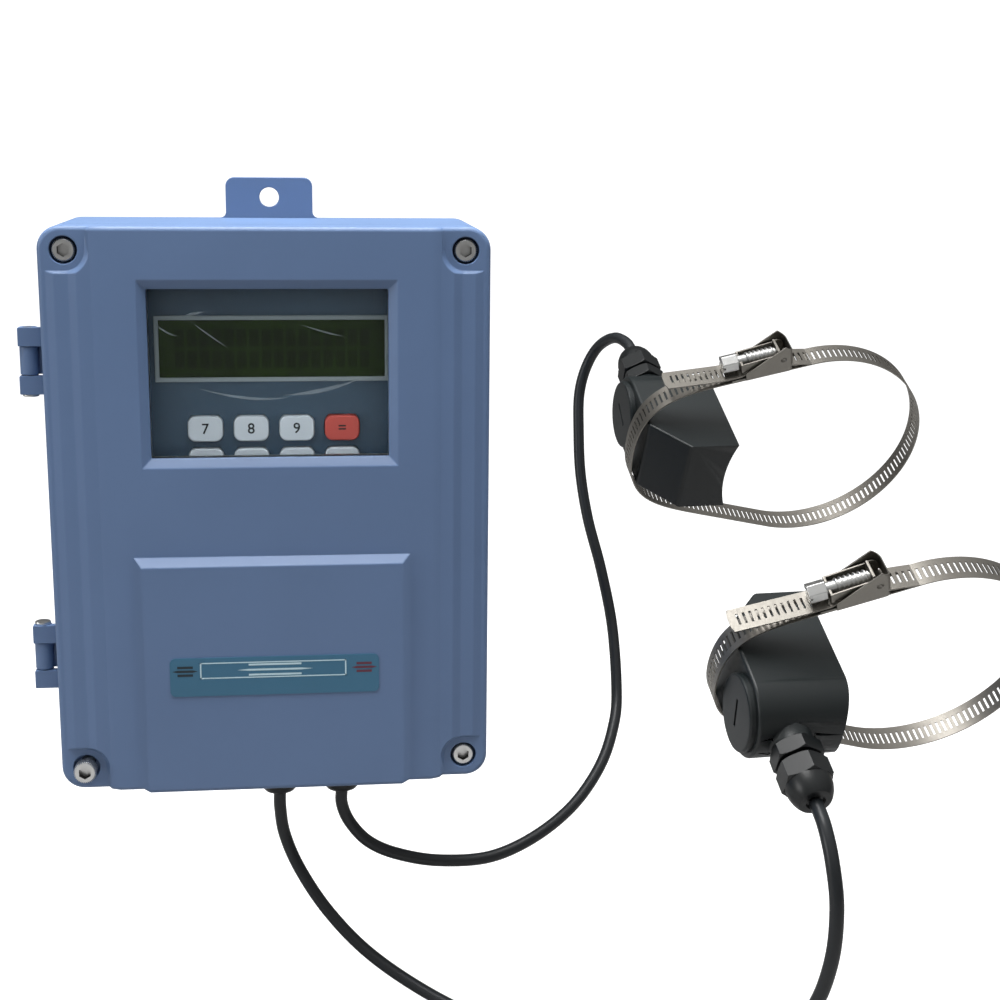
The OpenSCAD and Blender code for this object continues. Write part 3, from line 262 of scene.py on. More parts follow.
def copy_of(node, name):
    """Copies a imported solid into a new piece, with its points merged and its flat faces whole."""
    obj = bpy.data.objects.new(name, NODES[node].data.copy())
    obj.data.materials.clear()
    bpy.context.scene.collection.objects.link(obj)
    edit(obj, "VERT", True)
    bpy.ops.mesh.remove_doubles(threshold=0.000002)
    bpy.ops.mesh.dissolve_limited(angle_limit=math.radians(0.5))
    return done(obj)


def ease(obj, width, test, segments=2, angle=14):
    """Rounds those sharp edges of a piece whose both ends pass the test."""
    edit(obj, "EDGE")
    mesh = bmesh.from_edit_mesh(obj.data)
    mesh.normal_update()
    sharp = {e.index for e in mesh.edges
             if len(e.link_faces) == 2 and e.calc_face_angle(0) > math.radians(angle)}
    for e in mesh.edges:
        e.select_set(e.index in sharp and all(test(v.co) for v in e.verts))
    bmesh.update_edit_mesh(obj.data)
    bpy.ops.mesh.bevel(offset=width, segments=segments, affect="EDGES", clamp_overlap=False)
    return done(obj)


def rounded(node, name, width, segments=2, angle=30):
    """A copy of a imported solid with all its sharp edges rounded."""
    return ease(copy_of(node, name), width, lambda p: True, segments, angle)


def round_corners(obj, radius):
    """Rounds the corners of an upright plate, seen from its front."""
    edit(obj, "EDGE")
    pick(obj, "edges", lambda a, b: abs(a.y - b.y) > 0.0003)
    bpy.ops.mesh.bevel(offset=radius, segments=8, affect="EDGES")
    return done(obj)


def turned(name, rings, vertices=48):
    """A body turned about Z: a disc drawn out ring by ring, each ring a height and a radius."""
    z, r = rings[0]
    obj = primitive("circle", name, vertices=vertices, radius=r * MM, fill_type="NGON",
                    location=(0, 0, z * MM))
    edit(obj, "FACE", True)
    for z1, r1 in rings[1:]:
        bpy.ops.mesh.extrude_region_move(TRANSFORM_OT_translate={"value": (0, 0, (z1 - z) * MM)})
        bpy.ops.transform.resize(value=(r1 / r, r1 / r, 1))
        z, r = z1, r1
    bpy.ops.mesh.select_all(action="SELECT")
    bpy.ops.mesh.normals_make_consistent(inside=False)
    return done(obj)


def cut_by(obj, tool, how="DIFFERENCE"):
    """Cuts a piece by a tool and takes the tool away."""
    modify(obj, "BOOLEAN", object=tool, solver="EXACT", operation=how)
    bpy.data.objects.remove(tool)
    return obj


def box_tool(name, x, y, z):
    """A box between two places on each axis, in millimetres."""
    obj = primitive("cube", name, size=1)
    obj.data.transform(Matrix.Translation(Vector((sum(x), sum(y), sum(z))) * MM / 2)
                       @ Matrix.Diagonal(((x[1] - x[0]) * MM, (y[1] - y[0]) * MM, (z[1] - z[0]) * MM, 1)))
    return obj


def placed(obj, matrix):
    obj.data.transform(matrix)
    return obj


def shift(x, y, z):
    """A move by millimetres."""
    return Matrix.Translation(Vector((x, y, z)) * MM)


def join(objs, name):
    """Joins finished meshes into one piece."""
    only(objs[0])
    for o in objs[1:]:
        o.select_set(True)
    if len(objs) > 1:
        bpy.ops.object.join()
    obj = bpy.context.object
    obj.name = name
    return obj


def settle(obj, surface, node, smooth=32, stands=True):
    """Gives a piece its finish, its shading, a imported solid's body and, mostly, that solid's place."""
    only(obj)
    if surface:
        obj.data.materials.append(finish(surface))
    if smooth:
        bpy.ops.object.shade_smooth_by_angle(angle=math.radians(smooth))
        modify(obj, "WEIGHTED_NORMAL", keep_sharp=True, weight=80)
    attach(obj, NODES[node]["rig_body"])
    if stands:
        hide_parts(node)
    return obj


def lettering(text, name, size, mat):
    """Flat lettering in the XZ plane, facing the viewer, as a mesh."""
    if bpy.context.object and bpy.context.object.mode != "OBJECT":
        bpy.ops.object.mode_set(mode="OBJECT")
    bpy.ops.object.select_all(action="DESELECT")
    bpy.ops.object.text_add()
    obj = bpy.context.object
    obj.data.body = text
    obj.data.size = size
    obj.data.align_x = "CENTER"
    obj.data.align_y = "CENTER"
    obj.data.extrude = 0.00003
    obj.data.offset = 0.00008
    bpy.ops.object.convert(target="MESH")
    obj = bpy.context.object
    obj.name = name
    obj.data.transform(Matrix.Rotation(math.radians(90), 4, "X"))
    obj.data.materials.clear()
    obj.data.materials.append(mat)
    return obj


# Material helpers

def add(tree, kind, sockets=None, links=None, stops=(), **settings):
    """Adds a node, sets its sockets, settings and colour stops, and links its inputs."""
    node = tree.nodes.new(kind)
    for key, value in settings.items():
        setattr(node, key, value)
    for key, value in (sockets or {}).items():
        node.inputs[key].default_value = value
    for key, (source, output) in (links or {}).items():
        tree.links.new(source.outputs[output], node.inputs[key])
    for i, (at, colour) in enumerate(stops):
        node.color_ramp.elements[i].position = at
        node.color_ramp.elements[i].color = colour
    return node


def start(name, colour, **sockets):
    """A new material with its shader, its output and the piece's own coordinates."""
    mat = bpy.data.materials.new(name)
    mat.use_nodes = True
    tree = mat.node_tree
    tree.nodes.clear()
    values = {"Base Color": (*colour[:3], 1.0)}
    values.update({k.replace("_", " "): v for k, v in sockets.items()})
    shader = add(tree, "ShaderNodeBsdfPrincipled", values)
    add(tree, "ShaderNodeOutputMaterial", None, {"Surface": (shader, "BSDF")})
    place = add(tree, "ShaderNodeTexCoord")
    return mat, tree, shader, place


def shade(colour, k):
    return tuple(min(1.0, c * k) for c in colour[:3]) + (1.0,)


def scale_of(width):
    """The scale of a pattern whose spots or lines are so many millimetres wide."""
    return 1 / (width * MM)


def coat(tree, shader, relief_from, tone_from, gloss_from, gloss, stops, depth):
    """Gives a shader uneven gloss, uneven tone and a relief of a depth in millimetres."""
    rough = add(tree, "ShaderNodeMapRange", {"To Min": gloss[0], "To Max": gloss[1]},
                {"Value": (gloss_from, "Fac")})
    tones = add(tree, "ShaderNodeValToRGB", None, {"Fac": (tone_from, "Fac")}, stops)
    relief = add(tree, "ShaderNodeBump", {"Strength": 1.0, "Distance": depth * MM},
                 {"Height": (relief_from, "Fac")})
    tree.links.new(rough.outputs["Result"], shader.inputs["Roughness"])
    tree.links.new(tones.outputs["Color"], shader.inputs["Base Color"])
    tree.links.new(relief.outputs["Normal"], shader.inputs["Normal"])


def grained(name, colour, rough, width, depth, spread=0.06, tone=0.06):
    """A moulded or coated surface: grain of a width and depth in millimetres, uneven gloss and tone."""
    mat, tree, shader, place = start(name, colour, Roughness=rough)
    grain = add(tree, "ShaderNodeTexNoise", {"Scale": scale_of(width), "Detail": 2.0, "Roughness": 0.5},
                {"Vector": (place, "Object")})
    cloud = add(tree, "ShaderNodeTexNoise", {"Scale": scale_of(55.56), "Detail": 3.0},
                {"Vector": (place, "Object")})
    coat(tree, shader, grain, cloud, cloud, (rough - spread, rough + spread),
         ((0.3, shade(colour, 1 - tone)), (0.7, shade(colour, 1 + tone))), depth)
    return mat


def metal(name, colour, rough, widths, depth, tone=0.10):
    """Bare or plated metal: fine lines of three widths in millimetres, uneven gloss, handling marks."""
    mat, tree, shader, place = start(name, colour, Roughness=rough, Metallic=1.0)
    lay = add(tree, "ShaderNodeMapping", {"Scale": [scale_of(w) for w in widths]},
              {"Vector": (place, "Object")})
    lines = add(tree, "ShaderNodeTexNoise", {"Scale": 1.0, "Detail": 3.0}, {"Vector": (lay, "Vector")})
    cloud = add(tree, "ShaderNodeTexNoise", {"Scale": scale_of(16.67), "Detail": 2.0},
                {"Vector": (place, "Object")})
    coat(tree, shader, lines, cloud, lines, (rough - 0.08, rough + 0.10),
         ((0.3, shade(colour, 1 - tone)), (0.7, shade(colour, 1 + tone / 2))), depth)
    return mat


def acrylic(name, colour):
    """A clear pane, with a faint tint; lamps shine through it."""
    mat, tree, shader, place = start(name, colour, Roughness=0.02, IOR=1.2, Transmission_Weight=1.0)
    cloud = add(tree, "ShaderNodeTexNoise", {"Scale": scale_of(40), "Detail": 2.0},
                {"Vector": (place, "Object")})
    gloss = add(tree, "ShaderNodeMapRange", {"To Min": 0.01, "To Max": 0.03}, {"Value": (cloud, "Fac")})
    tree.links.new(gloss.outputs["Result"], shader.inputs["Roughness"])
    path = add(tree, "ShaderNodeLightPath")
    clear = add(tree, "ShaderNodeBsdfTransparent")
    both = add(tree, "ShaderNodeMixShader", None, {0: (path, "Is Shadow Ray"), 1: (shader, "BSDF"),
                                                  2: (clear, "BSDF")})
    out = next(n for n in tree.nodes if n.type == "OUTPUT_MATERIAL")
    tree.links.new(both.outputs["Shader"], out.inputs["Surface"])
    return mat


def thin_film(name, colour):
    """A thin film that lets most of the light through, more in some spots than in others."""
    mat, tree, shader, place = start(name, colour, Roughness=0.3, Alpha=0.45)
    cloud = add(tree, "ShaderNodeTexNoise", {"Scale": scale_of(3.333), "Detail": 2.0},
                {"Vector": (place, "Object")})
    fade = add(tree, "ShaderNodeMapRange", {"To Min": 0.08, "To Max": 0.45}, {"Value": (cloud, "Fac")})
    tree.links.new(fade.outputs["Result"], shader.inputs["Alpha"])
    return mat


def display(name, colour, k):
    """Smooth dark glass with a brighter haze; its tone is k times the colour's."""
    mat, tree, shader, place = start(name, colour, Roughness=0.25, Specular_IOR_Level=0.25)
    cloud = add(tree, "ShaderNodeTexNoise", {"Scale": scale_of(25), "Detail": 2.0},
                {"Vector": (place, "Object")})
    tones = add(tree, "ShaderNodeValToRGB", None, {"Fac": (cloud, "Fac")},
                ((0.35, shade(colour, 0.75 * k)), (0.75, shade(colour, 1.25 * k))))
    tree.links.new(tones.outputs["Color"], shader.inputs["Base Color"])
    return mat


def board(name, colour):
    """Green mask with paler spots where the copper lies under it."""
    mat, tree, shader, place = start(name, colour, Roughness=0.35)
    mask = add(tree, "ShaderNodeTexVoronoi", {"Scale": scale_of(3.846)}, {"Vector": (place, "Object")})
    tones = add(tree, "ShaderNodeValToRGB", None, {"Fac": (mask, "Distance")},
                ((0.0, shade(linear("#2b6b48"), 1)), (1.0, shade(linear("#184a30"), 1))))
    tree.links.new(tones.outputs["Color"], shader.inputs["Base Color"])
    return mat


# Each finish: how it is made, its colour or the setting that gives it, and the values of its maker. A
# grain or a line that is too fine to show is drawn as coarse as the width that stands here
SURFACES = {
    # Powder coat on die-cast aluminium: satin, with a fine orange peel
    "satin_powder_coat": (grained, "paint", 0.42, 1.1, 0.01, 0.05, 0.03),
    # Spark-eroded moulded nylon: dull black with a fine grain
    "moulded_black_nylon": (grained, "plastic", 0.42, 0.6, 0.01),
    # Smoother moulded nylon of the cable glands
    "gland_nylon": (grained, "#090c0d", 0.36, 0.6, 0.006),
    # Extruded PVC: smooth, with a soft sheen
    "pvc_jacket": (grained, "jacket", 0.38, 1.4, 0.01),
    # Moulded rubber: nearly without gloss
    "gasket_rubber": (grained, "#18191a", 0.7, 0.7, 0.01),
    # Moulded keys: matt and pale, one of them red, with signs in flat black ink
    "moulded_key": (grained, "key", 0.5, 0.7, 0.006, 0.05, 0.02),
    "moulded_red_key": (grained, "menu_key", 0.45, 0.7, 0.006, 0.05, 0.04),
    "key_ink": (grained, "#14181b", 0.6, 0.5, 0),
    # Printed polyester film of the inner panel: even and half matt
    "printed_film": (grained, "panel", 0.4, 0.8, 0.004, 0.05, 0.03),
    # Zinc plating on steel: bright and a little cloudy
    "zinc_plate": (metal, "#e2e2e0", 0.33, (2.5, 2.5, 2.5), 0.001, 0.03),
    # Walls of a socket: dark steel, painted shade of the deep hexagon socket
    "dulled_steel": (metal, "#3c3b39", 0.5, (2.5, 2.5, 2.5), 0.001, 0.05),
    # Rolled stainless strip: soft shine with faint rolling lines
    "stainless_strip": (metal, "#949089", 0.42, (1.111, 5, 1.111), 0.002, 0.05),
    # Turned brass: warm and bright
    "brass": (metal, "#c9a65a", 0.32, (2.5, 2.5, 2.5), 0.004),
    # Printed plastic label with its inks: half gloss, the inks flat
    "label_film": (grained, "label", 0.35, 1, 0.004, 0.05, 0.05),
    "pale_ink": (grained, "#b9d3dc", 0.5, 0.6, 0),
    "dark_ink": (grained, "#1c2a33", 0.5, 0.6, 0),
    "red_ink": (grained, "#5c2c3c", 0.5, 0.6, 0),
    # Baked enamel of the display's frame: smooth grey
    "frame_enamel": (grained, "#8d979a", 0.4, 0.8, 0.004),
    # Cast epoxy: amber and glossy
    "epoxy_resin": (grained, "#b6925a", 0.3, 1, 0.004),
    # Silver fired on ceramic: pale and satin
    "silvered_ceramic": (metal, "#cfd0d2", 0.35, (2, 2, 2), 0.003),
    # Moulded green polyamide of the terminals
    "terminal_plastic": (grained, "#2f8a55", 0.4, 0.7, 0.005),
    # Dipped lacquer: dark, with soft gloss
    "transformer_lacquer": (grained, "#33363a", 0.35, 0.9, 0.01),
    # Extruded vinyl: pale grey, with low ribs
    "ribbon_vinyl": (grained, "#a8abae", 0.45, 1.2, 0.02),
    # Protective film where it is creased: a thin pale strip, a painted highlight standing for the light that
    # each crease catches
    "creased_film": (thin_film, "#b4c2ca"),
    # Cast acrylic: clear and glossy
    "clear_acrylic": (acrylic, "#eef2f4"),
    # Display glass, dark olive, and its characters that are switched off
    "display_glass": (display, "display", 1.0),
    "unlit_cells": (display, "display", 0.62),
    # Solder mask over copper: glossy green
    "solder_mask": (board, "#1f5a3a"),
}
FINISHES = {}


def finish(name):
    """Makes each finish once, at its first use."""
    if name not in FINISHES:
        make, source, *values = SURFACES[name]
        colour = linear(source) if source[0] == "#" else getattr(finish_of(), source)
        FINISHES[name] = make(name, colour, *values)
    return FINISHES[name]


# The stage

# The camera, solved from the photograph: its place in millimetres, its axes and its lens
CAMERA_AT = (14.19, -790.34, 28.66)
CAMERA_FORWARD = (0.11754, 0.96947, -0.21521)
CAMERA_UP = (0.01585, 0.21486, 0.97652)
CAMERA_LENS = 59.4
# Strength of the sky that lights the part, at the horizon and overhead
WORLD_LOW = 0.12
WORLD_HIGH = 0.8


class METER_OT_stage(bpy.types.Operator):
    """Sets the camera, the pale floor and the soft lights"""

    bl_idname = "meter.stage"
    bl_label = "Stage"

    def execute(self, context):
        forward = Vector(CAMERA_FORWARD).normalized()
        up = Vector(CAMERA_UP)
        up = (up - forward * up.dot(forward)).normalized()
        right = forward.cross(up)
        cam = bpy.data.objects.new("camera", bpy.data.cameras.new("camera"))
        cam.matrix_world = Matrix((
            (right.x, up.x, -forward.x, CAMERA_AT[0] * MM),
            (right.y, up.y, -forward.y, CAMERA_AT[1] * MM),
            (right.z, up.z, -forward.z, CAMERA_AT[2] * MM),
            (0, 0, 0, 1)))
        cam.data.lens = CAMERA_LENS
        cam.data.sensor_width = 36
        cam.data.clip_start = 0.01
        cam.data.clip_end = 50
        context.scene.collection.objects.link(cam)
        context.scene.camera = cam

        # The floor lies just under the leads, and rises in a curve behind the part
        low = CAD_BOX[0][2] - 0.004
        floor = primitive("grid", "floor", x_subdivisions=2, y_subdivisions=24, size=8)
        for v in floor.data.vertices:
            y = v.co.y
            v.co.z = low + (max(0.0, y - 1.6) ** 2) * 0.9
        floor.data.materials.append(self.floor_finish())
        only(floor)
        bpy.ops.object.shade_smooth()

        world = bpy.data.worlds.new("studio")
        context.scene.world = world
        world.use_nodes = True
        tree = world.node_tree
        tree.nodes.clear()
        path = add(tree, "ShaderNodeLightPath")
        seen = add(tree, "ShaderNodeMath", None,
                   {0: (path, "Is Camera Ray"), 1: (path, "Is Transmission Ray")}, operation="MAXIMUM")
        way = add(tree, "ShaderNodeTexCoord")
        axes = add(tree, "ShaderNodeSeparateXYZ", None, {"Vector": (way, "Generated")})
        height = add(tree, "ShaderNodeMapRange",
                     {"From Min": 0.0, "From Max": 1.0, "To Min": WORLD_LOW, "To Max": WORLD_HIGH},
                     {"Value": (axes, "Z")})
        strength = add(tree, "ShaderNodeMapRange", {"To Max": 1.0},
                       {"Value": (seen, "Value"), "To Min": (height, "Result")})
        sky = add(tree, "ShaderNodeBackground", {"Color": (1, 1, 1, 1)}, {"Strength": (strength, "Result")})
        add(tree, "ShaderNodeOutputWorld", None, {"Surface": (sky, "Background")})

        light = sizes_of().light
        self.lamp("overhead", (0.0, -0.05, 1.1), (0.03, -0.05, -0.15), 1.2, light, False)
        self.lamp("left", (-1.75, -0.6, 0.3), (0.0, 0, -0.15), 0.7, light * 0.22)
        self.lamp("bevel_glow", (0.0, -0.12, 0.55), (0.0, -0.08, -0.15), 0.4, light * 0.1)
        context.scene.view_settings.view_transform = "Standard"
        return {"FINISHED"}

    def lamp(self, name, place, aim, size, watts, mirrored=True):
        """A square lamp at a place, turned to its aim; it shows in glossy surfaces where mirrored."""
        lamp = bpy.data.objects.new(name, bpy.data.lights.new(name, "AREA"))
        lamp.data.energy = watts
        lamp.data.size = size
        lamp.visible_glossy = mirrored
        lamp.location = place
        lamp.rotation_euler = (Vector(aim) - Vector(place)).to_track_quat("-Z", "Y").to_euler()
        bpy.context.scene.collection.objects.link(lamp)

    def floor_finish(self):
        mat = bpy.data.materials.new("white_floor")
        mat.use_nodes = True
        tree = mat.node_tree
        tree.nodes.clear()
        path = add(tree, "ShaderNodeLightPath")
        plain = add(tree, "ShaderNodeBsdfDiffuse", {"Color": (0.3, 0.3, 0.3, 1)})
        lift = add(tree, "ShaderNodeMath", {1: 0.92}, {0: (path, "Is Camera Ray")}, operation="MULTIPLY")
        glow = add(tree, "ShaderNodeEmission", {"Color": (1, 1, 1, 1)}, {"Strength": (lift, "Value")})
        both = add(tree, "ShaderNodeAddShader", None, {0: (plain, "BSDF"), 1: (glow, "Emission")})
        add(tree, "ShaderNodeOutputMaterial", None, {"Surface": (both, "Shader")})
        return mat


# The leads

UPPER_ROUTE = [
    (30, -28, -283), (30, -28, -292), (34, -28, -302), (43, -29, -312), (57, -29, -319),
    (78, -28, -324), (104, -24, -325), (128, -15, -319), (150, 0, -309), (167, 18, -295),
    (177, 36, -280), (181, 50, -265), (181, 67, -234), (176, 78, -204), (170, 89, -178),
    (167, 99, -154), (167, 108, -131), (168, 114, -112), (172, 116, -97), (178, 112, -85),
    (185, 102, -79), (190, 90, -81), (191.03, 80.34, -86.35)]
LOWER_ROUTE = [
    (0, -28, -283), (0, -28, -293), (2, -28, -307), (9, -31, -324), (22, -38, -343),
    (40, -48, -360), (63, -61, -373), (89, -78, -381), (117, -98, -383), (144, -120, -380),
    (169, -144, -371), (190, -168, -356), (206, -189, -337), (215, -203, -314), (219, -210, -290),
    (220, -210, -268), (219, -205, -251), (218, -196, -239), (217.61, -184.55, -233.32)]

# Each lead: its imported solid, its route, and its length along that route in metres
LEADS = (("upper_lead", UPPER_ROUTE, 0.463), ("lower_lead", LOWER_ROUTE, 0.4505))


class METER_OT_leads(bpy.types.Operator):
    """Runs the two leads from the case to the transducers"""

    bl_idname = "meter.leads"
    bl_label = "Leads"

    def execute(self, context):
        for node, route, length in LEADS:
            lead = self.run(node + "_jacket", [Vector(p) * MM for p in route])
            settle(lead, "pvc_jacket", node, smooth=0)
        return {"FINISHED"}

    def run(self, name, points):
        bpy.ops.object.select_all(action="DESELECT")
        bpy.ops.curve.primitive_bezier_curve_add(location=(0, 0, 0))
        lead = bpy.context.object
        lead.name = name
        curve = lead.data
        curve.splines.clear()
        line = curve.splines.new("BEZIER")
        line.bezier_points.add(len(points) - 1)
        ends = [2 * points[0] - points[1]] + points + [2 * points[-1] - points[-2]]
        for i, (knot, at) in enumerate(zip(line.bezier_points, points)):
            pull = (ends[i + 2] - ends[i]) / 6
            knot.handle_left_type = knot.handle_right_type = "FREE"
            knot.co = at
            knot.handle_left = at - pull
            knot.handle_right = at + pull
        curve.dimensions = "3D"
        curve.resolution_u = 10
        curve.render_resolution_u = 0
        curve.bevel_depth = sizes_of().lead_d / 2
        curve.bevel_resolution = 5
        curve.use_fill_caps = True
        return lead


# The case

class METER_OT_case(bpy.types.Operator):
    """Rounds and paints the two halves of the case"""

    bl_idname = "meter.case"
    bl_label = "Case"

    def execute(self, context):
        s = sizes_of()
        # The tabs and the hinge knuckles of the back, then the lid's outline, the steps of its face, and
        # the ears of its hinge
        back = copy_of("base", "case_back")
        ease(back, s.line_round, lambda p: self.outside(p, 5.5) or p.x < -(HALF_WIDTH + 1) * MM, 2, 30)
        settle(back, "satin_powder_coat", "base")
        front = copy_of("lid", "case_lid")
        ease(front, s.case_round, lambda p: p.y < LID_FACE * MM and self.rim(p), 4, 30)
        ease(front, s.line_round, lambda p: p.y < LID_FACE * MM and not self.outside(p, -2.5), 2, 14)
        ease(front, s.line_round * 0.8, lambda p: p.x < -(HALF_WIDTH + 0.3) * MM, 2, 30)
        settle(front, "satin_powder_coat", "lid")
        return {"FINISHED"}

    def outside(self, p, past):
        """Whether a point lies more than so many millimetres outside the case's width or height."""
        return (abs(p.x) / MM - HALF_WIDTH > past
                or abs(p.z / MM - CASE_Z) - HALF_HEIGHT > past)

    def rim(self, p):
        """Whether a point lies on the case's outline, with its round corners."""
        x = abs(p.x) / MM - HALF_WIDTH + CASE_CORNER
        z = abs(p.z / MM - CASE_Z) - HALF_HEIGHT + CASE_CORNER
        if x > 0 and z > 0:
            return abs(math.hypot(x, z) - CASE_CORNER) < 0.1
        return abs(x - CASE_CORNER) < 0.05 or abs(z - CASE_CORNER) < 0.05


class METER_OT_fittings(bpy.types.Operator):
    """Models the socket screws and rounds the hinge pins"""

    bl_idname = "meter.fittings"
    bl_label = "Screws and hinge pins"

    def execute(self, context):
        pins = rounded("hinge_pins", "hinge_pin_pair", 0.0004)
        settle(pins, "zinc_plate", "hinge_pins")
        head = self.screw()
        spots = [(x * SCREW_X, z * SCREW_Z + CASE_Z) for x in (-1, 1) for z in (-1, 1)]
        tight = []
        for x, z in spots:
            loose = x < 0 and z < CASE_Z
            one = bpy.data.objects.new("screw", head.data.copy())
            bpy.context.scene.collection.objects.link(one)
            out = BACKED_OUT if loose else 0.0
            placed(one, shift(x, SCREW_SEAT - out, z))
            if loose:
                settle(one, None, "loose_lid_screw")
                one.name = "backed_out_screw"
            else:
                tight.append(one)
        settle(join(tight, "tight_lid_screws"), None, "lid_screws")
        bpy.data.objects.remove(head)
        return {"FINISHED"}

    def screw(self):
        """Socket head screw: knurled head, hexagon socket and shank, its seat at zero, facing -Y."""
        head = turned("screw_head", [(0.06, 4.7), (0.16, 5), (5.3, 5), (5.75, 4.7), (6, 4.3)], 144)
        # Of each four points round the head two are drawn in, which leaves the knurl's 36 ridges
        edit(head, "VERT")
        pick(head, "verts", lambda p, n: round(math.degrees(math.atan2(p.y, p.x)) / 2.5) % 4 > 1
             and math.hypot(p.x, p.y) > 4.6 * MM)
        bpy.ops.transform.resize(value=(0.89, 0.89, 1), center_override=(0, 0, 0))
        done(head)
        socket = primitive("cylinder", "socket", vertices=6, radius=SOCKET_HEX * MM,
                           depth=6.4 * MM, location=(0, 0, 6 * MM))
        cut_by(head, socket)
        head.data.materials.append(finish("zinc_plate"))
        head.data.materials.append(finish("dulled_steel"))
        # The walls of the socket take the dark steel, painted shade of the socket's depth
        for wall in head.data.polygons:
            inside = math.hypot(wall.center.x, wall.center.y) < 2.9 * MM and abs(wall.normal.z) < 0.5
            wall.material_index = int(inside)
        shank = turned("shank", [(-14, 1.9), (-13, 2.45), (0, 2.45)], 32)
        head = join([head, shank], "screw_head")
        head.data.transform(Matrix.Rotation(math.radians(90), 4, "X"))
        return head


class METER_OT_window(bpy.types.Operator):
    """Models the window pane, the display and the painted highlights along the film's creases"""

    bl_idname = "meter.window"
    bl_label = "Window and display"

    def execute(self, context):
        pane = rounded("window_pane", "acrylic_pane", 0.0003, 2)
        settle(pane, "clear_acrylic", "window_pane")
        rim = rounded("lcd_frame", "display_rim", 0.0003, 2)
        settle(rim, "frame_enamel", "lcd_frame")
        glass = copy_of("lcd_module", "display_glass")
        glass.data.materials.append(finish("display_glass"))
        cells = self.cells(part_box("lcd_frame"))
        settle(join([glass, cells], "display_glass"), None, "lcd_module")
        # The pale strips are painted highlights along the creases of the film
        creases = join([self.crease(*c) for c in CREASES], "film_creases")
        settle(creases, None, "window_pane", smooth=0, stands=False)
        return {"FINISHED"}

    def cells(self, box):
        """The two rows of unlit characters, a hair in front of the glass."""
        low, high = box
        columns, step, rise = 16, 5.4 * MM, 9.6 * MM
        cell = box_tool("cell", (-2.1, 2.1), (-0.01, 0.01), (-3.8, 3.8))
        modify(cell, "ARRAY", count=columns, use_relative_offset=False, use_constant_offset=True,
               constant_offset_displace=(step, 0, 0))
        modify(cell, "ARRAY", count=2, use_relative_offset=False, use_constant_offset=True,
               constant_offset_displace=(0, 0, rise))
        middle = (low + high) / 2
        cell.data.transform(Matrix.Translation((middle.x - step * (columns - 1) / 2, high.y - 0.51 * MM,
                                                middle.z - rise / 2)))
        cell.data.materials.append(finish("unlit_cells"))
        return cell

    def crease(self, points, width):
        """A painted highlight along a crease of the film on the pane: a thin pale strip along a bent line
        that fades at both ends.
        """
        strip = primitive("grid", "crease", x_subdivisions=24, y_subdivisions=1, size=1)
        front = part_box("window_pane")[0].y - 0.1 * MM
        a, b, c = (Vector(p) for p in points)
        for v in strip.data.vertices:
            t = v.co.x + 0.5
            p = (1 - t) ** 2 * a + 2 * t * (1 - t) * b + t * t * c
            h = ((1 - t) * (b - a) + t * (c - b)).normalized()
            side = v.co.y * width * max(0.15, math.sin(math.pi * t))
            v.co = Vector(((p.x - h.y * side) * MM, front, (p.y + h.x * side + CASE_Z) * MM))
        strip.data.materials.append(finish("creased_film"))
        return strip


# Each crease's painted highlight: its two ends with the point that it bends toward between them, and its
# width.
# The second number of a point is its height over the case's middle
CREASES = [
    (((-47.5, 84.0), (-43.5, 79.5), (-39.0, 79.0)), 0.9),
    (((-33.0, 85.0), (-24.0, 78.0), (-18.0, 74.0)), 0.7),
    (((14.0, 83.5), (24.0, 80.0), (31.5, 78.5)), 0.8),
    (((6.0, 53.0), (22.0, 53.5), (38.0, 59.5)), 1.8),
    (((-30.0, 56.0), (-8.0, 49.5), (8.0, 52.0)), 1.2),
    (((-36.0, 87.5), (-31.0, 88.6), (-27.0, 89.2)), 1.2),
]

KEYS = {"key_7": "7", "key_8": "8", "key_9": "9", "key_menu": "=", "key_4": "4", "key_5": "5",
        "key_6": "6", "key_up": "+", "key_1": "1", "key_2": "2", "key_3": "3", "key_down": "-",
        "key_0": "0", "key_point": ".", "key_left": "<", "key_enter": ">"}


class METER_OT_keys(bpy.types.Operator):
    """Rounds the sixteen keys and prints their signs"""

    bl_idname = "meter.keys"
    bl_label = "Keys"

    def execute(self, context):
        ink = finish("key_ink")
        for node, sign in KEYS.items():
            cap = finish("moulded_red_key" if node == "key_menu" else "moulded_key")
            low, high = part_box(node)
            key = self.moulding(node + "_cap", low / MM, high / MM)
            key.data.materials.append(cap)
            mark = lettering(sign, "sign", 6.6 * MM, ink)
            mark.data.transform(Matrix.Translation(
                ((low.x + high.x) / 2, low.y - 0.00002, (low.z + high.z) / 2)))
            key = join([key, mark], node + "_cap")
            settle(key, None, node)
        return {"FINISHED"}

    def moulding(self, name, low, high):
        """A key: its cap with round ends, and the flange that holds it behind the panel."""
        lap, seat = 0.8, high.y - 1
        cap = box_tool(name, (low.x + lap, high.x - lap), (low.y, seat), (low.z + lap, high.z - lap))
        round_corners(cap, KEY_ROUND * MM)
        ease(cap, 0.0007, lambda p: p.y < (low.y + 0.01) * MM, 3, 30)
        flange = box_tool("flange", (low.x, high.x), (seat, high.y), (low.z, high.z))
        return join([cap, round_corners(flange, KEY_ROUND * MM)], name)


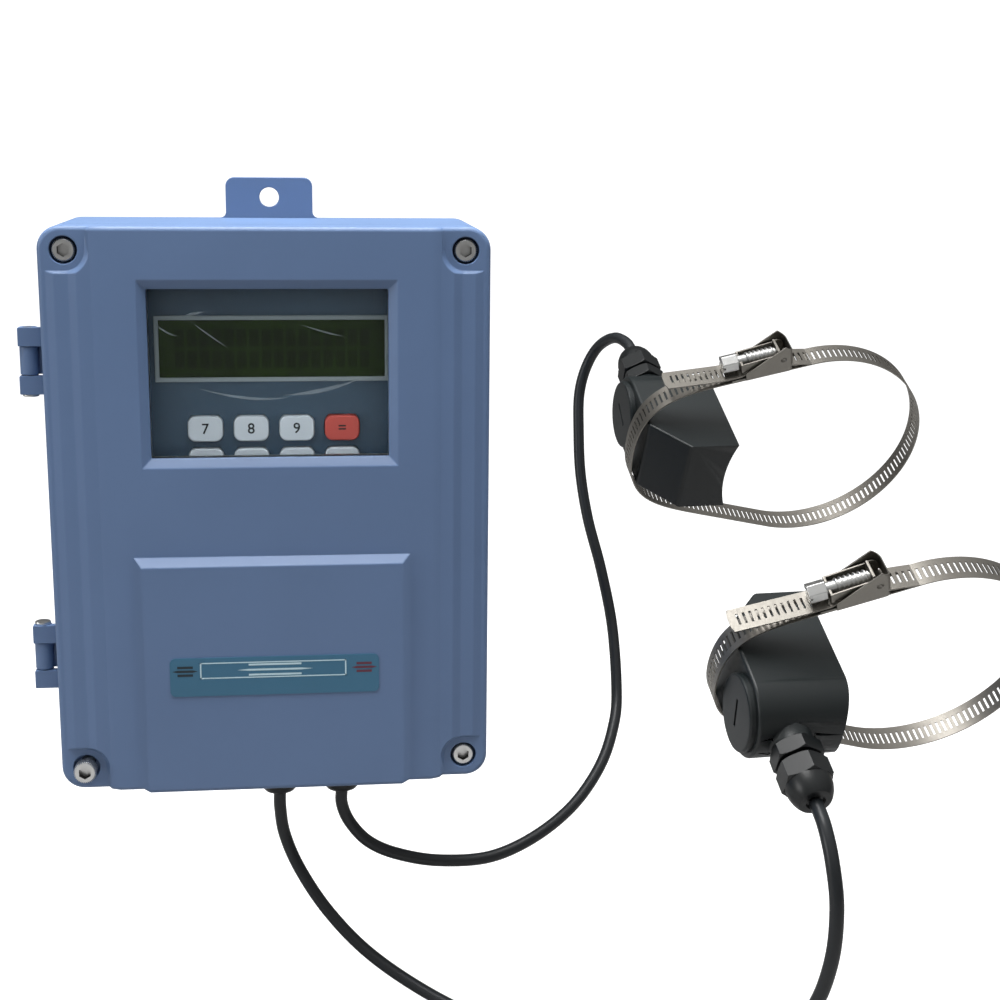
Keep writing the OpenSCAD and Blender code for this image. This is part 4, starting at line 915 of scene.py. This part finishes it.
class METER_OT_label(bpy.types.Operator):
    """Models the label plate and its printed stripes"""

    bl_idname = "meter.label"
    bl_label = "Label"

    def execute(self, context):
        plate = copy_of("label_plate", "label_plate_film")
        round_corners(plate, LABEL_ROUND * MM)
        plate.data.materials.append(finish("label_film"))
        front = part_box("label_plate")[0].y
        parts = [plate]
        pale, dark, red = finish("pale_ink"), finish("dark_ink"), finish("red_ink")
        # The pale frame, then the pale stripes in it and the dark and red stripes beside it
        x0, x1, z0, z1 = -32.9, 31.5, -72.0, -64.6
        for a, b, c, d in ((x0, x1, z1 - 0.5, z1), (x0, x1, z0, z0 + 0.5),
                           (x0, x0 + 0.6, z0, z1), (x1 - 0.6, x1, z0, z1)):
            parts.append(self.bar(a, b, c, d, front, pale, 0))
        for middle, half, thick, ink, rows in (
                (0, 11.6, 0.42, pale, ((-65.9, 0), (-68.3, 5), (-70.6, 0))),
                (-39.4, 3.4, 0.55, dark, ((-66.6, 0), (-68.4, 2.2), (-70.2, 0))),
                (39.4, 3.4, 0.55, red, ((-66.6, 0), (-68.4, 2.2), (-70.2, 0)))):
            for z, point in rows:
                parts.append(self.bar(middle - half, middle + half, z - thick, z + thick, front, ink, point))
        label = join(parts, "label_plate_film")
        settle(label, None, "label_plate")
        return {"FINISHED"}

    def bar(self, x0, x1, z0, z1, front, mat, point):
        """A printed bar, pointed at both ends where point is more than nothing."""
        bar = primitive("grid", "bar", x_subdivisions=3, y_subdivisions=2, size=1)
        for v in bar.data.vertices:
            x, z = v.co.x, v.co.y
            px = x0 + (x1 - x0) * (0.5 + x)
            if abs(x) > 0.4 and abs(z) < 0.1:
                px += math.copysign(point, x)
            v.co = Vector((px * MM, front - 0.00004, ((z0 + z1) / 2 + (z1 - z0) * z + CASE_Z) * MM))
        modify(bar, "SOLIDIFY", thickness=0.00004, offset=0)
        bar.data.materials.append(mat)
        return bar


# Transducers and glands

class METER_OT_transducers(bpy.types.Operator):
    """Rounds the transducers, their caps and the cable glands"""

    bl_idname = "meter.transducers"
    bl_label = "Transducers and glands"

    def execute(self, context):
        caps, bodies, nuts = [], [], []
        for which, flip in (("upper", math.pi), ("lower", 0.0)):
            place = pipe_frame(CLAMPS[which][0]) @ Matrix.Rotation(flip, 4, "X")
            self.probe(which + "_transducer", place)
            seat = place @ shift(*CAP_SEAT)
            caps.append(placed(self.cap(CAP_TURNS[which]), seat @ Matrix.Rotation(math.radians(90), 4, "Y")))
            seat = place @ shift(*GLAND_SEAT)
            bodies.append(placed(self.gland_body(PROBE_GLAND), seat))
            nuts.append(placed(self.gland_nut(PROBE_GLAND), seat))
        settle(join(caps, "transducer_caps_set"), "moulded_black_nylon", "transducer_caps")
        self.set_of(bodies, "probe_gland_bodies")
        self.set_of(nuts, "probe_gland_nuts")
        seats = {x: shift(x, ENTRY_Y, ENTRY_Z) for x in ENTRY_XS}
        leads = [seats[x] for x in GLAND_XS]
        spare = [seats[x] for x in ENTRY_XS if x not in GLAND_XS]
        self.set_of([placed(self.gland_body(CASE_GLAND), m) for m in leads], "case_gland_bodies")
        self.set_of([placed(self.gland_nut(CASE_GLAND), m) for m in leads], "case_gland_nuts")
        self.set_of([placed(self.hexagon("plug", -2.4, 0), m) for m in spare], "blanking_plugs")
        return {"FINISHED"}

    def set_of(self, parts, node):
        """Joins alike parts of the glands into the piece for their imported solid."""
        settle(join(parts, node + "_set"), "gland_nylon", node)

    def probe(self, node, place):
        """One moulded body, its outer edges rounded where no bore or boss is near."""
        body = copy_of(node, node + "_body")
        body.data.transform(place.inverted())
        ease(body, 0.0013, self.shell, 3, 25)
        neck = turned("neck", [(0, 9.15), (2.5, 9.3), (5, 10.2), (9, 12.2), (14, 13.5)], 40)
        placed(neck, shift(*GLAND_SEAT))
        body = join([body, neck], node + "_body")
        body.data.transform(place)
        settle(body, "moulded_black_nylon", node)

    def shell(self, p):
        """Whether a point of a body in its own frame lies on its outer sides, clear of the pipe."""
        x, y, z = (c / MM for c in p)
        outer = abs(abs(y) - 19.5) < 0.02 or z > 7.9 or abs(math.hypot(y, z + 25) - 19.5) < 0.02
        return outer and x > 60

    def cap(self, turn):
        """A cap with its coin slot, turned to where its thread stopped."""
        cap = turned("cap", [(0, 17), (2.1, 17), (2.7, 16.6), (3, 15.9)], 96)
        slot = box_tool("slot", (-0.9, 0.9), (-6.5, 6.5), (1.5, 4))
        slot.data.transform(Matrix.Rotation(math.radians(turn), 4, "Z"))
        return cut_by(cap, slot)

    def hexagon(self, name, low, high):
        """A gland's hexagon between two heights, its corners chamfered round at both ends."""
        prism = primitive("cylinder", name, vertices=6, radius=GLAND_HEX * MM,
                          depth=(high - low) * MM, location=(0, 0, (low + high) / 2 * MM))
        # The chamfers' cone meets each end at a radius of 10.2 mm, and goes on past it, so that no faces
        # of the two lie in one plane
        edge = min(0.9, (high - low) / 3)
        past = edge / 2
        round_bar = turned("bar", [(low - past, 9.5), (low + edge, 11.6), (high - edge, 11.6),
                                   (high + past, 9.5)], 72)
        prism = cut_by(prism, round_bar, "INTERSECT")
        return ease(prism, 0.0003, lambda p: True, 2, 25)

    def gland_body(self, heights):
        """The collar under the nut, with the thread that shows in the groove."""
        collar = heights[0]
        thread = turned("thread", [(-collar - 3, 7.7), (-collar, 7.7), (0, 7.95), (2.4, 7.95)])
        return join([self.hexagon("gland_body", -collar, 0), thread], "gland_body")

    def gland_nut(self, heights):
        """The hexagon nut with its dome; the lead leaves through the recess at the dome's end."""
        collar, hexagon, dome = heights
        top = -collar - 1.5
        low = top - hexagon
        end = low - dome
        shape = [(low + 0.4, 10), (low, 10), (low - dome * 0.3, 9.75), (low - dome * 0.6, 9.0),
                 (low - dome * 0.85, 7.9), (end + 0.25, 7.1), (end, 6.5), (end, 4.2), (end + 1.2, 3.6)]
        return join([self.hexagon("gland_nut", low, top), turned("dome", shape)], "gland_nut")


# Clamps

def pipe_frame(place):
    """The clamp's own frame: X out of the pipe through the transducer, Z along the pipe."""
    return (shift(*place) @ Matrix.Rotation(PIPE_SWING, 4, "Z")
            @ Matrix.Rotation(math.radians(90) + PIPE_DIP, 4, "X") @ Matrix.Rotation(math.pi, 4, "Y"))


def saddle_frame(which):
    place, slip, lean, _, _ = CLAMPS[which]
    return (pipe_frame(place) @ Matrix.Rotation(lean, 4, "Z")
            @ shift(PIPE_R, -slip, 0) @ Matrix.Rotation(-math.pi / 2, 4, "Z"))


def bow(slip, lean, height, grow, steps=24):
    """Half of the loop above the pipe, from the pipe's side to the top, as points in millimetres."""
    out = Vector((math.cos(lean), math.sin(lean)))
    along = Vector((math.sin(lean), -math.cos(lean)))
    q = PIPE_R * out + (slip + STRAIGHT) * along
    top = Vector((height, 0))
    b = q + 0.6 * (top.x - q.x) * along
    c = Vector((top.x, 0.72 * q.y))
    pts = []
    for i in range(steps + 1):
        t = i / steps
        p = (1 - t) ** 3 * q + 3 * t * (1 - t) ** 2 * b + 3 * t * t * (1 - t) * c + t ** 3 * top
        h = ((1 - t) ** 2 * (b - q) + 2 * t * (1 - t) * (c - b) + t * t * (top - c)).normalized()
        pts.append(p + grow * Vector((-h.y, h.x)))
    return pts


def loop_points(slip, lean, height, grow):
    """The closed loop of a band: over the transducer, down to the pipe and round it."""
    side = bow(slip, lean, height, grow)
    r = PIPE_R + grow
    arc = [Vector((r * math.cos(a), r * math.sin(a)))
           for a in (lean + (2 * math.pi - 2 * lean) * i / 96 for i in range(97))]
    upper = list(reversed(side))
    lower = [Vector((p.x, -p.y)) for p in side]
    return upper + arc + lower


class METER_OT_clamps(bpy.types.Operator):
    """Models the slotted bands, the saddles, the carriers and the worm screws"""

    bl_idname = "meter.clamps"
    bl_label = "Clamps"

    def execute(self, context):
        for which in ("upper", "lower"):
            place, slip, lean, tail, height = CLAMPS[which]
            ring = self.strip(which + "_ring", loop_points(slip, lean, height, HALF_STRIP))
            ring.data.transform(pipe_frame(place))
            free = self.strip(which + "_tail", self.tail_points(slip, tail), True)
            free.data.transform(saddle_frame(which))
            band = join([ring, free], which + "_slotted_band")
            settle(band, "stainless_strip", which + "_band")
            for node, kind in ((which + "_saddle", "_shell"), (which + "_carrier", "_plate")):
                settle(rounded(node, node + kind, 0.0002), "stainless_strip", node)
            worm = self.worm(which + "_worm_screw")
            worm.data.transform(saddle_frame(which))
            settle(worm, "zinc_plate", which + "_worm")
        return {"FINISHED"}

    def tail_points(self, slip, tail):
        """The free end of a band: up through the saddle, then straight past the screw's head."""
        t = HALF_STRIP
        raw = [(max(-9.5, 1 - slip), 0.15 + t), (0, 2.0 + t), (9.5, 3.5 + t), (26, 3.5 + t),
               (29.2, 2.4 + t), (38.2, 2.4 + t), (tail[0], tail[1] + t)]
        pts = [Vector(raw[0])]
        for a, b in zip(raw, raw[1:]):
            a, b = Vector(a), Vector(b)
            n = max(2, int((b - a).length / 1.2))
            pts += [a.lerp(b, (i + 1) / n) for i in range(n)]
        return pts

    def strip(self, name, line, free=False):
        """A slotted strip, modelled flat from one tile with a slot and then laid along a line."""
        s = sizes_of()
        total = sum((b - a).length for a, b in zip(line, line[1:])) * MM
        count = max(2, round(total / s.slot_pitch))
        pitch = total / count
        if free:
            count -= 1
        tile = primitive("plane", name, size=1)
        tile.data.transform(Matrix.Diagonal((pitch, s.band_w, 1, 1)))
        tile.data.transform(Matrix.Translation((pitch / 2, 0, 0)))
        for at, normal in (((pitch / 2 - 0.00055, 0, 0), (1, 0, 0)), ((pitch / 2 + 0.00055, 0, 0), (1, 0, 0)),
                           ((0, -0.00315, 0), (0, 1, 0)), ((0, 0.00315, 0), (0, 1, 0))):
            edit(tile, "FACE", True)
            bpy.ops.mesh.bisect(plane_co=at, plane_no=normal)
            done(tile)
        edit(tile)
        pick(tile, "faces", lambda c, n: abs(c.x - pitch / 2) < 0.0002 and abs(c.y) < 0.0002)
        bpy.ops.mesh.delete(type="FACE")
        done(tile)
        modify(tile, "ARRAY", count=count, use_relative_offset=False, use_constant_offset=True,
               constant_offset_displace=(pitch, 0, 0), use_merge_vertices=True, merge_threshold=0.00001)
        if free:
            plain = placed(self.end_piece(pitch, s.band_w), Matrix.Translation((pitch * count, 0, 0)))
            tile = join([tile, plain], name)
        lengths = [0.0]
        for a, b in zip(line, line[1:]):
            lengths.append(lengths[-1] + (b - a).length * MM)
        k = 0
        for v in sorted(tile.data.vertices, key=lambda v: v.co.x):
            x = min(max(v.co.x, 0.0), lengths[-1])
            while k < len(lengths) - 2 and lengths[k + 1] < x:
                k += 1
            f = (x - lengths[k]) / max(1e-9, lengths[k + 1] - lengths[k])
            p = line[k].lerp(line[k + 1], f) * MM
            v.co = Vector((p.x, p.y, v.co.y))
        if not free:
            edit(tile, "VERT", True)
            bpy.ops.mesh.remove_doubles(threshold=0.00002)
            done(tile)
        modify(tile, "SOLIDIFY", thickness=s.band_t - 0.00002, offset=0)
        return tile

    def end_piece(self, pitch, width):
        """The plain end of a free strip, its corners clipped."""
        end = primitive("grid", "end", x_subdivisions=4, y_subdivisions=4, size=1)
        for v in end.data.vertices:
            x, y = (v.co.x + 0.5) * pitch, v.co.y * width
            if x > pitch * 0.9 and abs(y) > width * 0.4:
                x, y = x - 0.0009, y - math.copysign(0.0002, y)
            v.co = Vector((x, y, 0))
        return end

    def worm(self, name):
        """The worm: a helical thread between its journal and its slotted hexagon head, along X."""
        turns = sizes_of().thread_turns
        pitch = 16.5 / turns
        # One turn's profile: each point's radius, and its height as a share of the pitch
        line = [(2.75, 0), (3.5, 0.28), (3.5, 0.5), (2.75, 0.78), (2.75, 1.0)]
        thread = primitive("grid", "thread", x_subdivisions=1, y_subdivisions=len(line) - 1, size=1)
        edit(thread, "VERT")
        pick(thread, "verts", lambda p, n: p.x < 0)
        bpy.ops.mesh.delete(type="VERT")
        done(thread)
        for v, (r, z) in zip(sorted(thread.data.vertices, key=lambda v: v.co.y), line):
            v.co = Vector((r, 0, z * pitch)) * MM
        modify(thread, "SCREW", axis="Z", angle=2 * math.pi, screw_offset=pitch * MM, iterations=turns - 1,
               steps=36, render_steps=36, use_merge_vertices=True, merge_threshold=0.00001,
               use_normal_calculate=True)
        placed(thread, shift(0, 0, 10.5))
        core = primitive("cylinder", "core", vertices=36, radius=2.76 * MM, depth=18.6 * MM,
                         location=(0, 0, 19.6 * MM))
        edit(core)
        pick(core, "faces", lambda c, n: abs(n.z) > 0.9)
        bpy.ops.mesh.inset(thickness=0.5 * MM)
        done(core)
        stub = primitive("cylinder", "stub", vertices=32, radius=2.0 * MM, depth=2.2 * MM,
                         location=(0, 0, 9.6 * MM))
        edit(stub)
        pick(stub, "faces", lambda c, n: n.z < -0.9)
        bpy.ops.mesh.inset(thickness=0.35 * MM)
        bpy.ops.transform.translate(value=(0, 0, -0.2 * MM))
        done(stub)
        head = primitive("cylinder", "head", vertices=6, radius=4.6 * MM, depth=8 * MM,
                         location=(0, 0, 33.2 * MM))
        modify(head, "BEVEL", width=0.35 * MM, segments=3, limit_method="ANGLE")
        cut_by(head, box_tool("slot", (-10, 10), (-0.65, 0.65), (35.9, 38.5)))
        worm = join([thread, core, stub, head], name)
        return placed(worm, shift(0, 8, 0) @ Matrix.Rotation(math.radians(90), 4, "Y"))


# What the case holds

INSIDE = {"inner_panel": "printed_film", "lid_gasket": "gasket_rubber", "window_seal": "gasket_rubber",
          "window_retainer": "zinc_plate", "window_screws": "zinc_plate", "small_screws": "zinc_plate",
          "panel_posts": "brass", "keypad_board": "solder_mask", "main_board": "solder_mask",
          "transformer": "transformer_lacquer", "terminal_blocks": "terminal_plastic",
          "ribbon_cable": "ribbon_vinyl", "gland_seals": "gasket_rubber", "lead_tails": "pvc_jacket",
          "cap_seals": "gasket_rubber", "sound_wedges": "epoxy_resin",
          "piezo_crystals": "silvered_ceramic"}


class METER_OT_inside(bpy.types.Operator):
    """Gives the parts inside the case and the transducers their finishes"""

    bl_idname = "meter.inside"
    bl_label = "Inside parts"

    def execute(self, context):
        for node, name in INSIDE.items():
            obj = NODES[node]
            obj.data.materials.clear()
            obj.data.materials.append(finish(name))
        return {"FINISHED"}


class METER_PT_panel(bpy.types.Panel):
    """Lists the meter's pieces in the sidebar"""

    bl_idname = "METER_PT_panel"
    bl_label = "Flow meter"
    bl_space_type = "VIEW_3D"
    bl_region_type = "UI"
    bl_category = "Flow meter"

    def draw(self, context):
        for group in (context.scene.meter_sizes, context.scene.meter_finish):
            for key in group.__annotations__:
                self.layout.prop(group, key)
        for step in STEPS:
            self.layout.operator(step.bl_idname)


STEPS = (METER_OT_stage, METER_OT_leads, METER_OT_case, METER_OT_fittings, METER_OT_window, METER_OT_keys,
         METER_OT_label, METER_OT_transducers, METER_OT_clamps, METER_OT_inside)
CLASSES = (MeterFinish, MeterSizes, *STEPS, METER_PT_panel)


def register():
    for cls in CLASSES:
        bpy.utils.register_class(cls)
    bpy.types.Scene.meter_finish = PointerProperty(type=MeterFinish)
    bpy.types.Scene.meter_sizes = PointerProperty(type=MeterSizes)


def unregister():
    del bpy.types.Scene.meter_sizes
    del bpy.types.Scene.meter_finish
    for cls in reversed(CLASSES):
        bpy.utils.unregister_class(cls)


def main():
    register()
    for step in STEPS:
        group, name = step.bl_idname.split(".")
        if getattr(getattr(bpy.ops, group), name)() != {"FINISHED"}:
            raise RuntimeError(f"{step.bl_label} did not finish")


if __name__ == "__main__":
    main()
